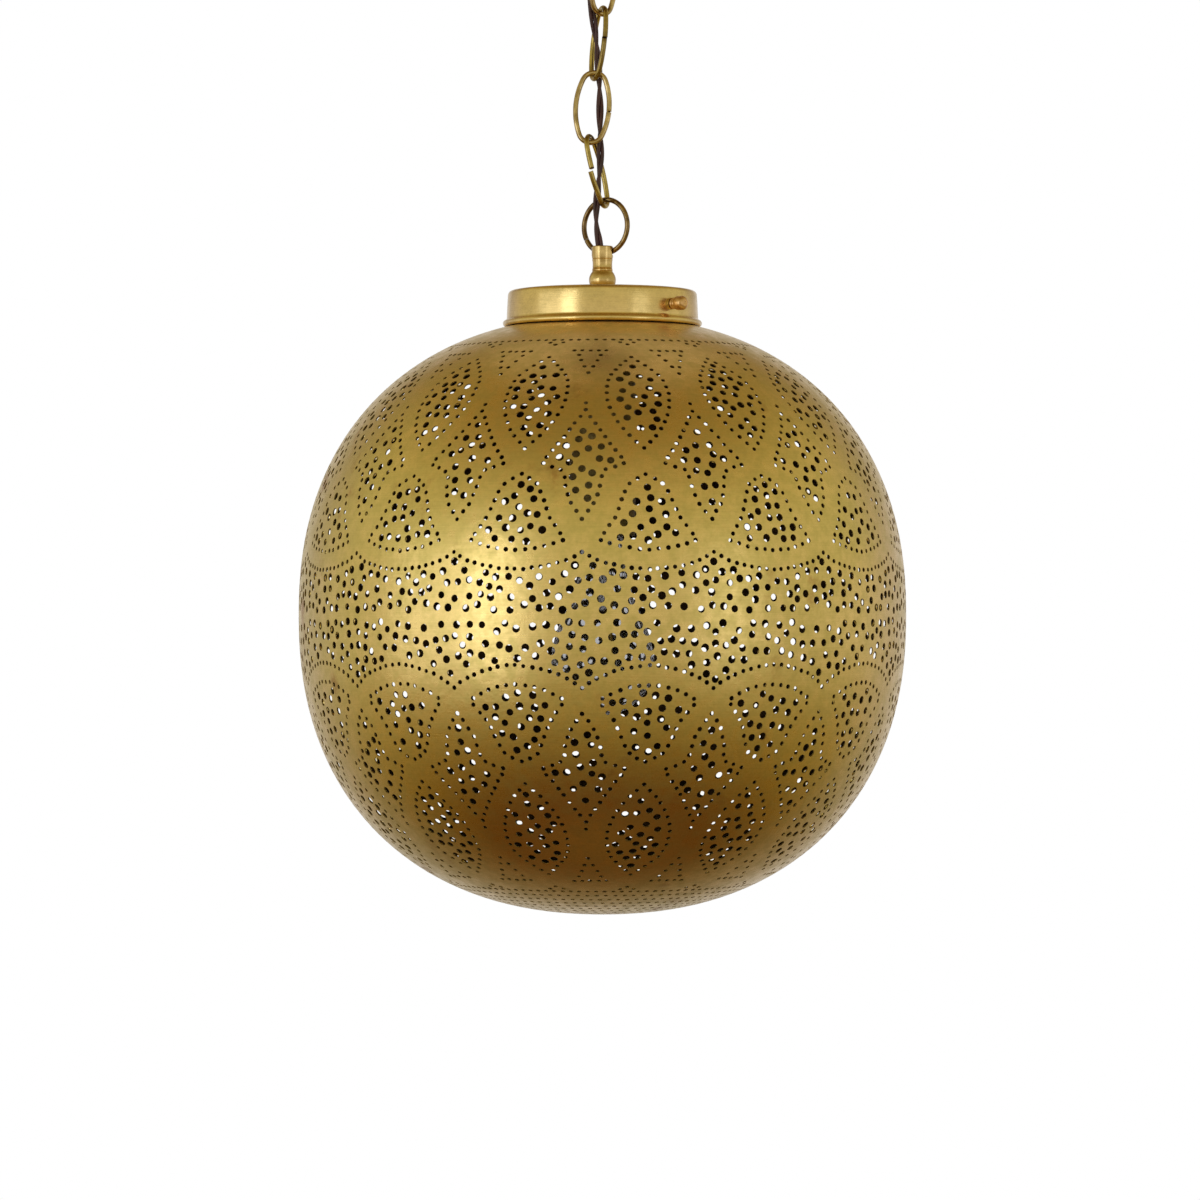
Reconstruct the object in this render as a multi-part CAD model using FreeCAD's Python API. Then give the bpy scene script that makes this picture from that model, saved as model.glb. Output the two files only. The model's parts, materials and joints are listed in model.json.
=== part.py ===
"""Chain-hung brass globe lantern: ceiling fitting, chain, laced flex, finial, gallery, lamp holder, globe.

Millimetres, +Z up.  The origin is on the ceiling, at the middle of the ceiling bracket.
Azimuths are measured from -Y (the front) towards +X.
"""
import FreeCAD, Part
import math
import os

V = FreeCAD.Vector
UP = V(0, 0, 1)
ORIGIN = V(0, 0, 0)
EXTRA = 2.0  # how far a cutting tool runs past the face that it cuts

# ---- globe: two spun halves brazed at the equator
globe_radius = 175.0
globe_half_height = 172.0
globe_squareness = 2.25  # exponent of the superellipse that the half section follows
globe_wall = 0.7
globe_section_points = 14
neck_radius = 51.0
neck_fold_radius = 2.0
neck_rise = 14.3  # of the neck's rim above the globe's shoulder

# ---- gallery: the collar that holds the globe's neck
gallery_wall = 1.0
neck_gap = 2.6  # between the neck and the inside of the gallery
gallery_flare = 0.7  # of the gallery's foot beyond its top
gallery_headroom = 6.0  # from the neck's rim up to the gallery's top
gallery_corner_radius = 4.0
bead_radius = 1.8
bead_gap = 0.35  # between the bead and the globe's shoulder

# ---- thumbscrews that pinch the neck
thumbscrew_azimuths = (45.0, 225.0)
thumbscrew_below_rim = 4.0
thumbscrew_thread_radius = 1.95
thumbscrew_head_radius = 4.0
thumbscrew_head_length = 5.6
thumbscrew_waist_radius = 2.4
thumbscrew_collar_radius = 3.3
thread_clearance = 0.05
tip_gap = 0.3
boss_radius = 3.4
boss_flange_radius = 4.0
boss_flange_thickness = 1.0
boss_proud = 1.6  # of the boss beyond the gallery
head_gap = 0.4  # between the boss and the screw's collar

# ---- finial that the ring passes through
finial_foot_radius = 6.5
finial_bulb_radius = 7.8
finial_neck_radius = 5.75
finial_head_radius = 6.2
finial_height = 26.0
finial_cavity_radius = 4.45
finial_cavity_top = 14.5
ring_hole_clearance = 1.0
ring_hole_offset = 3.2  # of the ring's plane behind the lantern's axis
ring_sits_below_top = 3.7  # from the finial's top down to the middle of the ring's wire
flex_hole_clearance = 0.25
flex_hole_offset = 2.3  # in front of the lantern's axis

# ---- chain: oval links of round wire, each with a butt gap in one side
wire_radius = 1.5
link_length = 44.3
link_width = 22.3
link_end_radius = 7.0  # of the wire's centreline round each end
link_gap = 0.35
slack = 0.65  # between two wires that hang in each other
link_azimuths = (-40.0, 70.0, 0.0, 110.0)  # of each link's plane, from +X towards -Y
ring_radius = 15.4  # of the wire's centreline
ring_azimuth = 36.0
# how far the flex pushes each hanging point aside (x, y); the last point is the ring's own
sway = ((0.0, 0.0), (-0.2, 0.0), (-4.6, -0.3), (-7.2, -4.5))

# ---- flex: two cores twisted together, laced through the chain
core_radius = 1.1
flex_radius = 2.2
# route from the canopy to the stem
flex_route = (
    (-17.0, 3.0, -23.0),
    (-17.0, 3.0, -42.0),
    (-12.6, 2.6, -62.0),
    (-7.6, 0.9, -81.6),
    (-4.1, 1.6, -100.6),
    (-2.3, 4.9, -119.5),
    (-1.4, 4.6, -138.5),
    (-1.5, 0.6, -156.7),
    (-0.9, -1.2, -175.7),
    (-2.8, 1.0, -192.7),
    (-4.0, -1.3, -211.7),
    (-1.4, -1.95, -225.1),
    (-1.33, -1.85, -236.1),
    (-0.6, -0.8, -249.1),
    (-0.4, -0.1, -268.0),
    (0.2, 0.0, -287.0),
    (0.2, 0.0, -298.0),
)
# runs of the route at whose middle one node ends and the next begins
flex_splits = (2, 4, 6, 8, 10)

# ---- ceiling fitting
canopy_radius = 60.0
canopy_depth = 28.0
canopy_wall = 1.0
canopy_top_gap = 0.3
canopy_flat_share = 0.42  # of the radius that is flat underneath
gland_to_bend = 1.0  # at least, from the gland's flange to where the flat ends
bracket_end_gap = 9.0  # between the bracket's ends and the canopy's rim
bracket_hole_inset = 9.0
bracket_foot_hole_radius = 2.25
bracket_width = 22.0
bracket_sheet = 2.0
bracket_drop = 10.0
bracket_bridge_half = 30.0
shank_radius = 5.0
shank_hole_radius = 5.1
nut_across_flats = 14.0
nut_thickness = 4.0
eye_radius = 9.0  # of the wire's centreline
eye_wire_radius = 2.0
eye_collar_radius = 8.6
eye_collar_height = 6.0
eye_azimuth = 50.0
gland_radius = 5.0
gland_flange_radius = 6.6
gland_bore_clearance = 0.1
gland_length = 9.0
terminal_size = (34.0, 17.0, 12.0)
terminal_place = (0.0, 0.4 * canopy_radius)
terminal_height = 3.0  # above the canopy's floor

# ---- stem, holder and bulb, from the gallery down
stem_radius = 5.0
stem_bore_radius = 3.7
stem_above_gallery = 5.0
stem_in_cap = 7.0
washer_radius = 10.0
washer_thickness = 1.0
spacer_radius = 7.0
spacer_length = 31.0
cover_wall = 0.8
cover_clearance = 0.6
cover_overhang = 3.0  # of the cover's rim below the holder's
cover_corner_radius = 4.0
holder_cap_drop = 9.0  # from the cover's top to the holder's
holder_cap_length = 41.0
holder_skirt_length = 51.0
holder_wall = 2.2
insert_wall = 1.3
insert_clearance = 0.1
holder_wire_x = 8.0
holder_screw_radius = 1.6
holder_screw_back = 4.6
socket_radius = 13.5
socket_wall = 0.4
socket_drop = 18.0  # from the holder's joint down to the socket shell's top
socket_inset = 4.0  # of the socket shell's rim above the holder's
bulb_cap_clearance = 0.5
bulb_cap_drop = 5.5  # from the socket shell's top down to the bulb's contact
bulb_cap_length = 21.0
bulb_cap_wall = 0.6
bulb_contact_height = 3.5  # black glass and contact over the cap
bulb_radius = 30.0
bulb_glass_length = 110.0  # from the cap's rim to the foot
bulb_glass_wall = 0.7
filament_radius = 0.9
filament_length = 36.0
filament_circle = 7.0
filament_count = 4


# ---- drawing helpers
def azimuth(degrees):
    """Unit vector of an azimuth measured from the front towards +X."""
    a = math.radians(degrees)
    return V(math.sin(a), -math.cos(a), 0)


def across(degrees):
    """Unit vector at an angle from +X towards the front."""
    a = math.radians(degrees)
    return V(math.cos(a), -math.sin(a), 0)


def behind(degrees):
    """Unit vector square to across(), pointing to the back."""
    a = math.radians(degrees)
    return V(math.sin(a), math.cos(a), 0)


def edges_through(outline):
    """Edges along (r, z) points; a pair of points is an arc through the first to the second."""
    edges = []
    here = V(outline[0][0], 0, outline[0][1])
    for step in outline[1:]:
        if isinstance(step[0], tuple):
            mid = V(step[0][0], 0, step[0][1])
            there = V(step[1][0], 0, step[1][1])
            edges.append(Part.Arc(here, mid, there).toShape())
        else:
            there = V(step[0], 0, step[1])
            edges.append(Part.LineSegment(here, there).toShape())
        here = there
    start = V(outline[0][0], 0, outline[0][1])
    if here.distanceToPoint(start) > 1e-6:
        edges.append(Part.LineSegment(here, start).toShape())
    return edges


def turned(edges):
    """Solid of revolution about Z of the closed half section that the edges bound."""
    return Part.Face(Part.Wire(edges)).revolve(ORIGIN, UP, 360)


def lathe(*outline):
    """Turned solid from an outline of (r, z) points."""
    return turned(edges_through(outline))


def cylinder(radius, low, high, x=0.0, y=0.0):
    return Part.makeCylinder(radius, high - low, V(x, y, low), UP)


def tube(radius, bore, low, high):
    return cylinder(radius, low, high).cut(cylinder(bore, low - EXTRA, high + EXTRA))


def hex_nut(low, high, bore):
    corner = nut_across_flats / math.sqrt(3)
    points = [
        V(corner * math.cos(math.radians(60 * i)), corner * math.sin(math.radians(60 * i)), low)
        for i in range(7)
    ]
    prism = Part.Face(Part.makePolygon(points)).extrude(V(0, 0, high - low))
    return prism.cut(cylinder(bore, low - EXTRA, high + EXTRA))


def swept(path, radius):
    """Round bar of the given radius along a path of tangent edges."""
    start = path.Edges[0].valueAt(path.Edges[0].FirstParameter)
    along = path.Edges[0].tangentAt(path.Edges[0].FirstParameter)
    section = Part.Wire(Part.Circle(start, along, radius).toShape())
    return path.makePipeShell([section], True, True)


def rounded_path(points):
    """Straight runs joined by tangent arcs, each as large as its two runs allow; returns wire and radii."""
    edges = []
    radii = []
    here = points[0]
    for i in range(1, len(points) - 1):
        before = points[i] - points[i - 1]
        after = points[i + 1] - points[i]
        turn = before.getAngle(after)
        reach = 0.45 * min(before.Length, after.Length)
        before.normalize()
        after.normalize()
        start = points[i] - before * reach
        end = points[i] + after * reach
        radius = reach / math.tan(turn / 2)
        inward = (after - before).normalize()
        apex = points[i] + inward * (radius / math.cos(turn / 2) - radius)
        edges.append(Part.LineSegment(here, start).toShape())
        edges.append(Part.Arc(start, apex, end).toShape())
        radii.append(radius)
        here = end
    edges.append(Part.LineSegment(here, points[-1]).toShape())
    return Part.Wire(edges), radii


# ---- sizes and heights that follow from the ones above; heights are over the globe's centre
def globe_surface(r):
    """Height and slope of the globe's outer surface at a radius, above the globe's centre."""
    n = globe_squareness
    z = globe_half_height * (1 - (r / globe_radius) ** n) ** (1 / n)
    gr = (r / globe_radius) ** (n - 1) / globe_radius
    gz = (z / globe_half_height) ** (n - 1) / globe_half_height
    return z, math.atan2(gr, gz)


neck_top = globe_surface(neck_radius + neck_fold_radius)[0] + neck_rise
gallery_radius_top = neck_radius + neck_gap + gallery_wall
gallery_radius_foot = gallery_radius_top + gallery_flare
gallery_top = neck_top + gallery_headroom
thumbscrew_height = neck_top - thumbscrew_below_rim
ring_hole_radius = wire_radius + ring_hole_clearance
flex_hole_radius = flex_radius + flex_hole_clearance
gland_reach = math.hypot(flex_route[0][0], flex_route[0][1]) + gland_flange_radius
canopy_flat_radius = max(canopy_flat_share * canopy_radius, gland_reach + gland_to_bend)
bracket_half_length = canopy_radius - bracket_end_gap
bracket_foot_x = bracket_half_length - bracket_hole_inset

stem_top = gallery_top + stem_above_gallery
washer_low = gallery_top - gallery_wall - washer_thickness
cover_top = washer_low - nut_thickness - spacer_length
holder_cap_top = cover_top - holder_cap_drop
holder_joint = holder_cap_top - holder_cap_length  # where the cap screws on to the skirt
holder_foot = holder_joint - holder_skirt_length
cover_foot = holder_foot - cover_overhang
stem_foot = holder_cap_top - stem_in_cap
socket_top = holder_joint - socket_drop
socket_foot = holder_foot + socket_inset
insert_bore = socket_radius + socket_wall + insert_clearance
insert_radius = insert_bore + insert_wall
holder_radius = insert_radius + insert_clearance + holder_wall
cover_radius = holder_radius + cover_clearance + cover_wall
bulb_cap_radius = socket_radius - bulb_cap_clearance
bulb_cap_top = socket_top - bulb_cap_drop
bulb_cap_foot = bulb_cap_top - bulb_contact_height - bulb_cap_length
bulb_foot = bulb_cap_foot - bulb_glass_length


# ---- where the chain hangs
eye_centre_z = -(canopy_depth + eye_collar_height + eye_wire_radius + eye_radius)
link_height = link_length - 2 * wire_radius  # of the wire's centreline


def hanging_points():
    """Wire centre of each piece's lowest point, from the eye down to the ring."""
    ring_place = behind(ring_azimuth) * ring_hole_offset
    places = list(sway) + [(ring_place.x, ring_place.y)]
    points = [V(places[0][0], places[0][1], eye_centre_z - eye_radius)]
    upper = eye_wire_radius
    for x, y in places[1:]:
        pitch = link_height - (upper + wire_radius + slack)
        last = points[-1]
        drop = math.sqrt(pitch**2 - (x - last.x) ** 2 - (y - last.y) ** 2)
        points.append(V(x, y, last.z - drop))
        upper = wire_radius
    last = points[-1]
    points.append(V(last.x, last.y, last.z + 2 * wire_radius + slack - 2 * ring_radius))
    return points


hang = hanging_points()
globe_z = hang[-1].z + ring_sits_below_top - finial_height - gallery_top


# ---- chain
def oval_path(width, height, end_radius):
    """Closed oval in the XZ plane, round its own centre, of two end arcs and two side arcs."""
    a = width / 2
    b = height / 2
    rise = b - end_radius
    side = (a**2 + rise**2 - end_radius**2) / (2 * (a - end_radius))
    shift = side - a
    lean = math.atan2(rise, shift)
    x = -shift + side * math.cos(lean)
    z = side * math.sin(lean)
    corners = [V(x, 0, -z), V(x, 0, z), V(-x, 0, z), V(-x, 0, -z)]
    middles = [V(a, 0, 0), V(0, 0, b), V(-a, 0, 0), V(0, 0, -b)]
    edges = []
    for i in range(4):
        edges.append(Part.Arc(corners[i], middles[i], corners[(i + 1) % 4]).toShape())
    return Part.Wire(edges)


def stood(shape, side, up, centre):
    """Place a shape drawn in the XZ plane so that X follows side, Z follows up, and its centre moves."""
    z = V(up).normalize()
    x = side - z * side.dot(z)
    x.normalize()
    y = z.cross(x)
    turn = FreeCAD.Matrix(
        x.x, y.x, z.x, centre.x,
        x.y, y.y, z.y, centre.y,
        x.z, y.z, z.z, centre.z,
        0, 0, 0, 1,
    )
    placed = shape.copy()
    placed.Placement = FreeCAD.Placement(turn)
    return placed


def make_link():
    path = oval_path(link_width - 2 * wire_radius, link_height, link_end_radius)
    bar = swept(path, wire_radius)
    gap = Part.makeBox(
        4 * wire_radius, 4 * wire_radius, link_gap,
        V(link_width / 2 - 3 * wire_radius, -2 * wire_radius, -link_gap / 2),
    )
    return bar.cut(gap)


def placed_link(index):
    top = hang[index]
    foot = hang[index + 1]
    lean = (top - foot).normalize()
    return stood(make_link(), across(link_azimuths[index]), lean, foot + lean * (link_height / 2))


def make_ring():
    ring = Part.makeTorus(ring_radius, wire_radius, ORIGIN, V(0, 1, 0))
    gap = Part.makeBox(
        4 * wire_radius, 4 * wire_radius, link_gap,
        V(ring_radius - 2 * wire_radius, -2 * wire_radius, -link_gap / 2),
    )
    gap.rotate(ORIGIN, V(0, 1, 0), 152)
    return ring.cut(gap)


def placed_ring():
    centre = hang[-1] + UP * ring_radius
    return stood(make_ring(), across(ring_azimuth), UP, centre)


# ---- ceiling fitting
def ceiling_bracket():
    inner = bracket_bridge_half
    low = -bracket_drop - bracket_sheet
    width = bracket_width
    bridge = Part.makeBox(2 * inner, width, bracket_sheet, V(-inner, -width / 2, low))
    solid = bridge
    for side in (-1, 1):
        foot_from = inner - bracket_sheet if side > 0 else -bracket_half_length
        foot = Part.makeBox(
            bracket_half_length - inner + bracket_sheet, width, bracket_sheet,
            V(foot_from, -width / 2, -bracket_sheet),
        )
        web_from = inner - bracket_sheet if side > 0 else -inner
        web = Part.makeBox(bracket_sheet, width, bracket_drop + bracket_sheet, V(web_from, -width / 2, low))
        solid = solid.fuse(foot).fuse(web)
    for side in (-1, 1):
        hole = cylinder(bracket_foot_hole_radius, -bracket_sheet - EXTRA, EXTRA, side * bracket_foot_x)
        solid = solid.cut(hole)
    solid = solid.cut(cylinder(shank_hole_radius, low - EXTRA, -bracket_drop + EXTRA))
    return solid.removeSplitter()


def canopy_cover():
    r = canopy_radius
    d = canopy_depth
    w = canopy_wall
    top = -canopy_top_gap
    outer = [
        (shank_hole_radius, -d),
        (canopy_flat_radius, -d),
        ((0.80 * r, -0.80 * d), (0.965 * r, -0.30 * d)),
        (r, -0.12 * d),
        (r, top),
        (r - w, top),
        (r - w, -0.12 * d + 0.3 * w),
        (0.965 * r - w, -0.30 * d + 0.4 * w),
        ((0.80 * r - 0.72 * w, -0.80 * d + 0.72 * w), (canopy_flat_radius - 0.2 * w, w - d)),
        (shank_hole_radius, w - d),
    ]
    cover = lathe(*outer)
    x, y = flex_route[0][:2]
    return cover.cut(cylinder(gland_radius + 0.05, -d - EXTRA, -d + 3 * EXTRA, x, y))


def canopy_loop():
    d = canopy_depth
    foot = -d - eye_collar_height
    collar = lathe(
        (0, -3.0), (shank_radius - 0.6, -3.0), (shank_radius, -3.6), (shank_radius, -d),
        (eye_collar_radius, -d), (eye_collar_radius, -d - 0.55 * eye_collar_height),
        (
            (0.87 * eye_collar_radius, foot + 0.12 * eye_collar_height),
            (0.45 * eye_collar_radius, foot - 1.2),
        ),
        (0, foot - 1.2),
    )
    eye = Part.makeTorus(eye_radius, eye_wire_radius, ORIGIN, V(0, 1, 0))
    eye = stood(eye, across(eye_azimuth), UP, V(0, 0, eye_centre_z))
    return collar.fuse(eye).removeSplitter()


def loop_nuts():
    bore = shank_radius + 0.02
    above = hex_nut(-bracket_drop, -bracket_drop + nut_thickness, bore)
    low = -bracket_drop - bracket_sheet
    below = hex_nut(low - nut_thickness, low, bore)
    return Part.makeCompound([above, below])


def flex_gland():
    x, y = flex_route[0][:2]
    d = canopy_depth
    body = cylinder(gland_radius, -d - gland_length, -d + 5.0, x, y)
    flange = cylinder(gland_flange_radius, -d - 2.0, -d, x, y)
    bore = cylinder(flex_radius + gland_bore_clearance, -d - gland_length - EXTRA, -d + 5.0 + EXTRA, x, y)
    return body.fuse(flange).cut(bore).removeSplitter()


def gland_nut():
    x, y = flex_route[0][:2]
    low = -canopy_depth + canopy_wall
    nut = cylinder(gland_flange_radius, low, low + 2.5, x, y)
    return nut.cut(cylinder(gland_radius + 0.02, low - EXTRA, low + 2.5 + EXTRA, x, y))


def terminal_block():
    sx, sy, sz = terminal_size
    x, y = terminal_place
    low = -canopy_depth + canopy_wall + terminal_height
    block = Part.makeBox(sx, sy, sz, V(x - sx / 2, y - sy / 2, low))
    wells = []
    for i in (-1, 0, 1):
        wx = x + i * sx / 3
        start = V(wx, y - sy / 2 - EXTRA, low + 4.5)
        wells.append(Part.makeCylinder(1.8, sy + 2 * EXTRA, start, V(0, 1, 0)))
        for j in (-1, 1):
            wells.append(cylinder(2.3, low + 6.0, low + sz + EXTRA, wx, y + j * sy / 4))
    return block.cut(wells)


def terminal_screws():
    sx, sy, sz = terminal_size
    x, y = terminal_place
    low = -canopy_depth + canopy_wall + terminal_height
    screws = []
    for i in (-1, 0, 1):
        for j in (-1, 1):
            wx = x + i * sx / 3
            wy = y + j * sy / 4
            screw = cylinder(2.0, low + 6.9, low + sz - 1.0, wx, wy)
            slot = Part.makeBox(5.0, 0.7, 1.0, V(wx - 2.5, wy - 0.35, low + sz - 1.8))
            screws.append(screw.cut(slot))
    return Part.makeCompound(screws)


def ceiling_leads():
    x, y = flex_route[0][:2]
    low = -canopy_depth + canopy_wall + terminal_height
    tx, ty = terminal_place
    leads = []
    for side in (-1, 1):
        end_x = tx - terminal_size[0] / 3 if side < 0 else tx
        end = V(end_x, ty - terminal_size[1] / 2 + 3.0, low + 4.5)
        route = [
            V(x + side * core_radius, y, flex_route[0][2]),
            V(x + side * core_radius, y, flex_route[0][2] + 4.0),
            V(x + side * 2.4 + 1.5, y + 4.5, -canopy_depth + 11.0),
            V(end.x, end.y - 8.0, low + 4.9),
            end,
        ]
        path, radii = rounded_path(route)
        leads.append(swept(path, core_radius))
    return Part.makeCompound(leads)


# ---- flex
def flex_points():
    return [V(x, y, z) for x, y, z in flex_route]


def flex_tubes():
    """One tube for each stretch between two splits, and the radii and lengths along the way."""
    points = flex_points()
    bounds = [0] + [2 * s + 1 for s in flex_splits]
    tubes = []
    report = []
    starts = [points[0]] + [(points[s] + points[s + 1]) * 0.5 for s in flex_splits]
    ends = starts[1:] + [points[-1]]
    firsts = [1] + [s + 1 for s in flex_splits]
    lasts = [s for s in flex_splits] + [len(points) - 2]
    for start, end, first, last in zip(starts, ends, firsts, lasts):
        path, radii = rounded_path([start] + points[first : last + 1] + [end])
        solid = swept(path, flex_radius)
        tubes.append(solid)
        report.append((path.Length, min(radii), solid.Volume / (math.pi * flex_radius**2 * path.Length)))
    return tubes, report


# ---- lantern, drawn about the globe's centre
def finial():
    base = gallery_top
    top = base + finial_height
    body = lathe(
        (stem_radius + 0.02, base),
        (finial_foot_radius, base),
        (finial_foot_radius, base + 1.6),
        ((finial_bulb_radius, base + 6.6), (finial_neck_radius + 0.25, base + 12.2)),
        ((finial_neck_radius - 0.05, base + 15.0), (finial_neck_radius, base + 17.6)),
        (finial_head_radius, base + 20.6),
        (finial_head_radius, top - 0.5),
        (finial_head_radius - 0.5, top),
        (0, top),
        (0, base + finial_cavity_top),
        (finial_cavity_radius, base + finial_cavity_top),
        (finial_cavity_radius, stem_top + 0.4),
        (stem_radius + 0.02, stem_top + 0.4),
    )
    back = behind(ring_azimuth)
    along = across(ring_azimuth)
    reach = 2 * finial_bulb_radius
    lift = 0.45  # of the hole above the ring's lowest point, because the ring curves upwards in it
    middle = back * ring_hole_offset + UP * (top - ring_sits_below_top + lift)
    cross_hole = Part.makeCylinder(ring_hole_radius, 2 * reach, middle - along * reach, along)
    front = back * -flex_hole_offset
    flex_hole = cylinder(flex_hole_radius, base + finial_cavity_top - 2.0, top + EXTRA, front.x, front.y)
    return body.cut(cross_hole).cut(flex_hole)


def stem():
    return tube(stem_radius, stem_bore_radius, stem_foot, stem_top)


def gallery():
    w = gallery_wall
    c = gallery_corner_radius
    top = gallery_top
    k = math.sqrt(0.5)
    bead_at = gallery_radius_foot + 0.4
    shoulder_z, slope = globe_surface(bead_at)
    bead_z = shoulder_z + (bead_radius + bead_gap) / math.cos(slope)
    shell = lathe(
        (stem_radius + 0.1, top),
        (gallery_radius_top - c, top),
        ((gallery_radius_top - c + c * k, top - c + c * k), (gallery_radius_top, top - c)),
        (gallery_radius_foot, bead_z + 0.6 * bead_radius),
        (gallery_radius_foot, bead_z),
        (gallery_radius_foot - w, bead_z),
        (gallery_radius_top - w, top - c),
        (
            (gallery_radius_top - c + (c - w) * k, top - c + (c - w) * k),
            (gallery_radius_top - c, top - w),
        ),
        (stem_radius + 0.1, top - w),
    )
    bead = Part.makeTorus(bead_at, bead_radius, V(0, 0, bead_z), UP)
    solid = shell.fuse(bead)
    for a in thumbscrew_azimuths:
        out = azimuth(a)
        start = out * (neck_radius - 5) + UP * thumbscrew_height
        solid = solid.cut(Part.makeCylinder(boss_radius + 0.05, 12, start, out))
    return solid.removeSplitter()


def radial(a, *outline):
    """Turned piece whose axis is an azimuth at the thumbscrews' height; its outline's z runs outwards."""
    solid = lathe(*outline)
    turn = FreeCAD.Placement(UP * thumbscrew_height, FreeCAD.Rotation(UP, azimuth(a)))
    solid.Placement = turn
    return solid


def screw_bosses():
    inside = gallery_radius_top - gallery_wall - 0.2
    bosses = []
    for a in thumbscrew_azimuths:
        bosses.append(radial(
            a,
            (thumbscrew_thread_radius + thread_clearance, inside - boss_flange_thickness),
            (boss_flange_radius, inside - boss_flange_thickness),
            (boss_flange_radius, inside),
            (boss_radius, inside),
            (boss_radius, gallery_radius_top + boss_proud),
            (thumbscrew_thread_radius + thread_clearance, gallery_radius_top + boss_proud),
        ))
    return Part.makeCompound(bosses)


def thumbscrew(a):
    tip = neck_radius + tip_gap
    seat = gallery_radius_top + boss_proud + head_gap
    r = thumbscrew_thread_radius
    h = thumbscrew_head_radius
    waist = thumbscrew_waist_radius
    collar = thumbscrew_collar_radius
    head = seat + 3.6
    end = head + thumbscrew_head_length
    return radial(
        a,
        (0, tip), (r - 0.4, tip), (r, tip + 0.4), (r, seat),
        (collar, seat), (collar, seat + 1.2), (waist, seat + 1.9), (waist, head - 0.8),
        (h, head), (h, end - 1.4), ((0.86 * h, end - 0.45), (0.45 * h, end)), (0, end),
    )


def globe_section(r_end, inset):
    """Spline along the upper half section from the equator in to a radius, set in from the outer surface."""
    n = globe_squareness
    t_end = math.acos((r_end / globe_radius) ** (n / 2))
    points = []
    for i in range(globe_section_points + 1):
        t = t_end * i / globe_section_points
        r = globe_radius * math.cos(t) ** (2 / n) if t < math.pi / 2 - 1e-9 else 0.0
        z = globe_half_height * math.sin(t) ** (2 / n)
        nr = (r / globe_radius) ** (n - 1) / globe_radius
        nz = (z / globe_half_height) ** (n - 1) / globe_half_height
        size = math.hypot(nr, nz)
        points.append(V(r - inset * nr / size, 0, z - inset * nz / size))
    first = V(0, 0, 1)
    last = points[-1] - points[-2]
    if r_end == 0:
        last = V(-1, 0, 0)
    curve = Part.BSplineCurve()
    curve.interpolate(Points=points, InitialTangent=first, FinalTangent=last.normalize())
    return curve.toShape(), points


def globe_upper():
    fold = neck_fold_radius
    shoulder = neck_radius + fold
    k = math.sqrt(0.5)
    outer, outer_points = globe_section(shoulder, 0.0)
    inner, inner_points = globe_section(shoulder, globe_wall)
    end = outer_points[-1]
    inner_end = inner_points[-1]
    turn_z = end.z + fold
    inner_fold = fold + globe_wall
    edges = [outer]
    fold_middle = V(shoulder - fold * k, 0, turn_z - fold * k)
    edges.append(Part.Arc(end, fold_middle, V(neck_radius, 0, turn_z)).toShape())
    corners = [
        V(neck_radius, 0, turn_z),
        V(neck_radius, 0, neck_top),
        V(neck_radius - globe_wall, 0, neck_top),
        V(neck_radius - globe_wall, 0, turn_z),
    ]
    for a, b in zip(corners, corners[1:]):
        edges.append(Part.LineSegment(a, b).toShape())
    middle = V(shoulder - inner_fold * k, 0, turn_z - inner_fold * k)
    edges.append(Part.Arc(corners[-1], middle, inner_end).toShape())
    edges.append(inner)
    edges.append(Part.LineSegment(inner_points[0], outer_points[0]).toShape())
    return turned(Part.__sortEdges__(edges))


def globe_lower():
    outer, outer_points = globe_section(0.0, 0.0)
    inner, inner_points = globe_section(0.0, globe_wall)
    edges = [
        outer,
        Part.LineSegment(outer_points[-1], inner_points[-1]).toShape(),
        inner,
        Part.LineSegment(inner_points[0], outer_points[0]).toShape(),
    ]
    half = turned(Part.__sortEdges__(edges))
    return half.mirror(ORIGIN, UP)


# ---- holder and bulb
def stem_nut():
    return hex_nut(washer_low - nut_thickness, washer_low, stem_radius + 0.02)


def stem_washer():
    return tube(washer_radius, stem_radius + 0.1, washer_low, washer_low + washer_thickness)


def spacer_tube():
    return tube(spacer_radius, stem_radius + 0.2, cover_top, cover_top + spacer_length)


def holder_cover():
    c = cover_corner_radius
    k = math.sqrt(0.5)
    r = cover_radius
    w = cover_wall
    return lathe(
        (stem_radius + 0.1, cover_top),
        (r - c, cover_top),
        ((r - c + c * k, cover_top - c + c * k), (r, cover_top - c)),
        (r, cover_foot),
        (r - w, cover_foot),
        (r - w, cover_top - c),
        ((r - c + (c - w) * k, cover_top - c + (c - w) * k), (r - c, cover_top - w)),
        (stem_radius + 0.1, cover_top - w),
    )


def cover_nut():
    high = cover_top - cover_wall
    return hex_nut(high - nut_thickness, high, stem_radius + 0.02)


def holder_cap():
    r = holder_radius
    w = holder_wall
    top = holder_cap_top
    return lathe(
        (stem_radius + 0.02, top),
        (stem_radius + 2.6, top),
        (stem_radius + 2.6, top - 8.0),
        (0.72 * r, top - 13.0),
        ((0.93 * r, top - 17.0), (r, top - 24.0)),
        (r, holder_joint),
        (r - w, holder_joint),
        (r - w, top - 24.0),
        (0.60 * r, top - 15.0),
        (stem_radius + 0.02, top - 12.0),
    )


def holder_skirt():
    r = holder_radius
    w = holder_wall
    return lathe(
        (r, holder_joint),
        (r, holder_foot + 2.0),
        (r - 0.8, holder_foot),
        (r - w, holder_foot),
        (r - w, holder_joint),
    )


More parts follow.
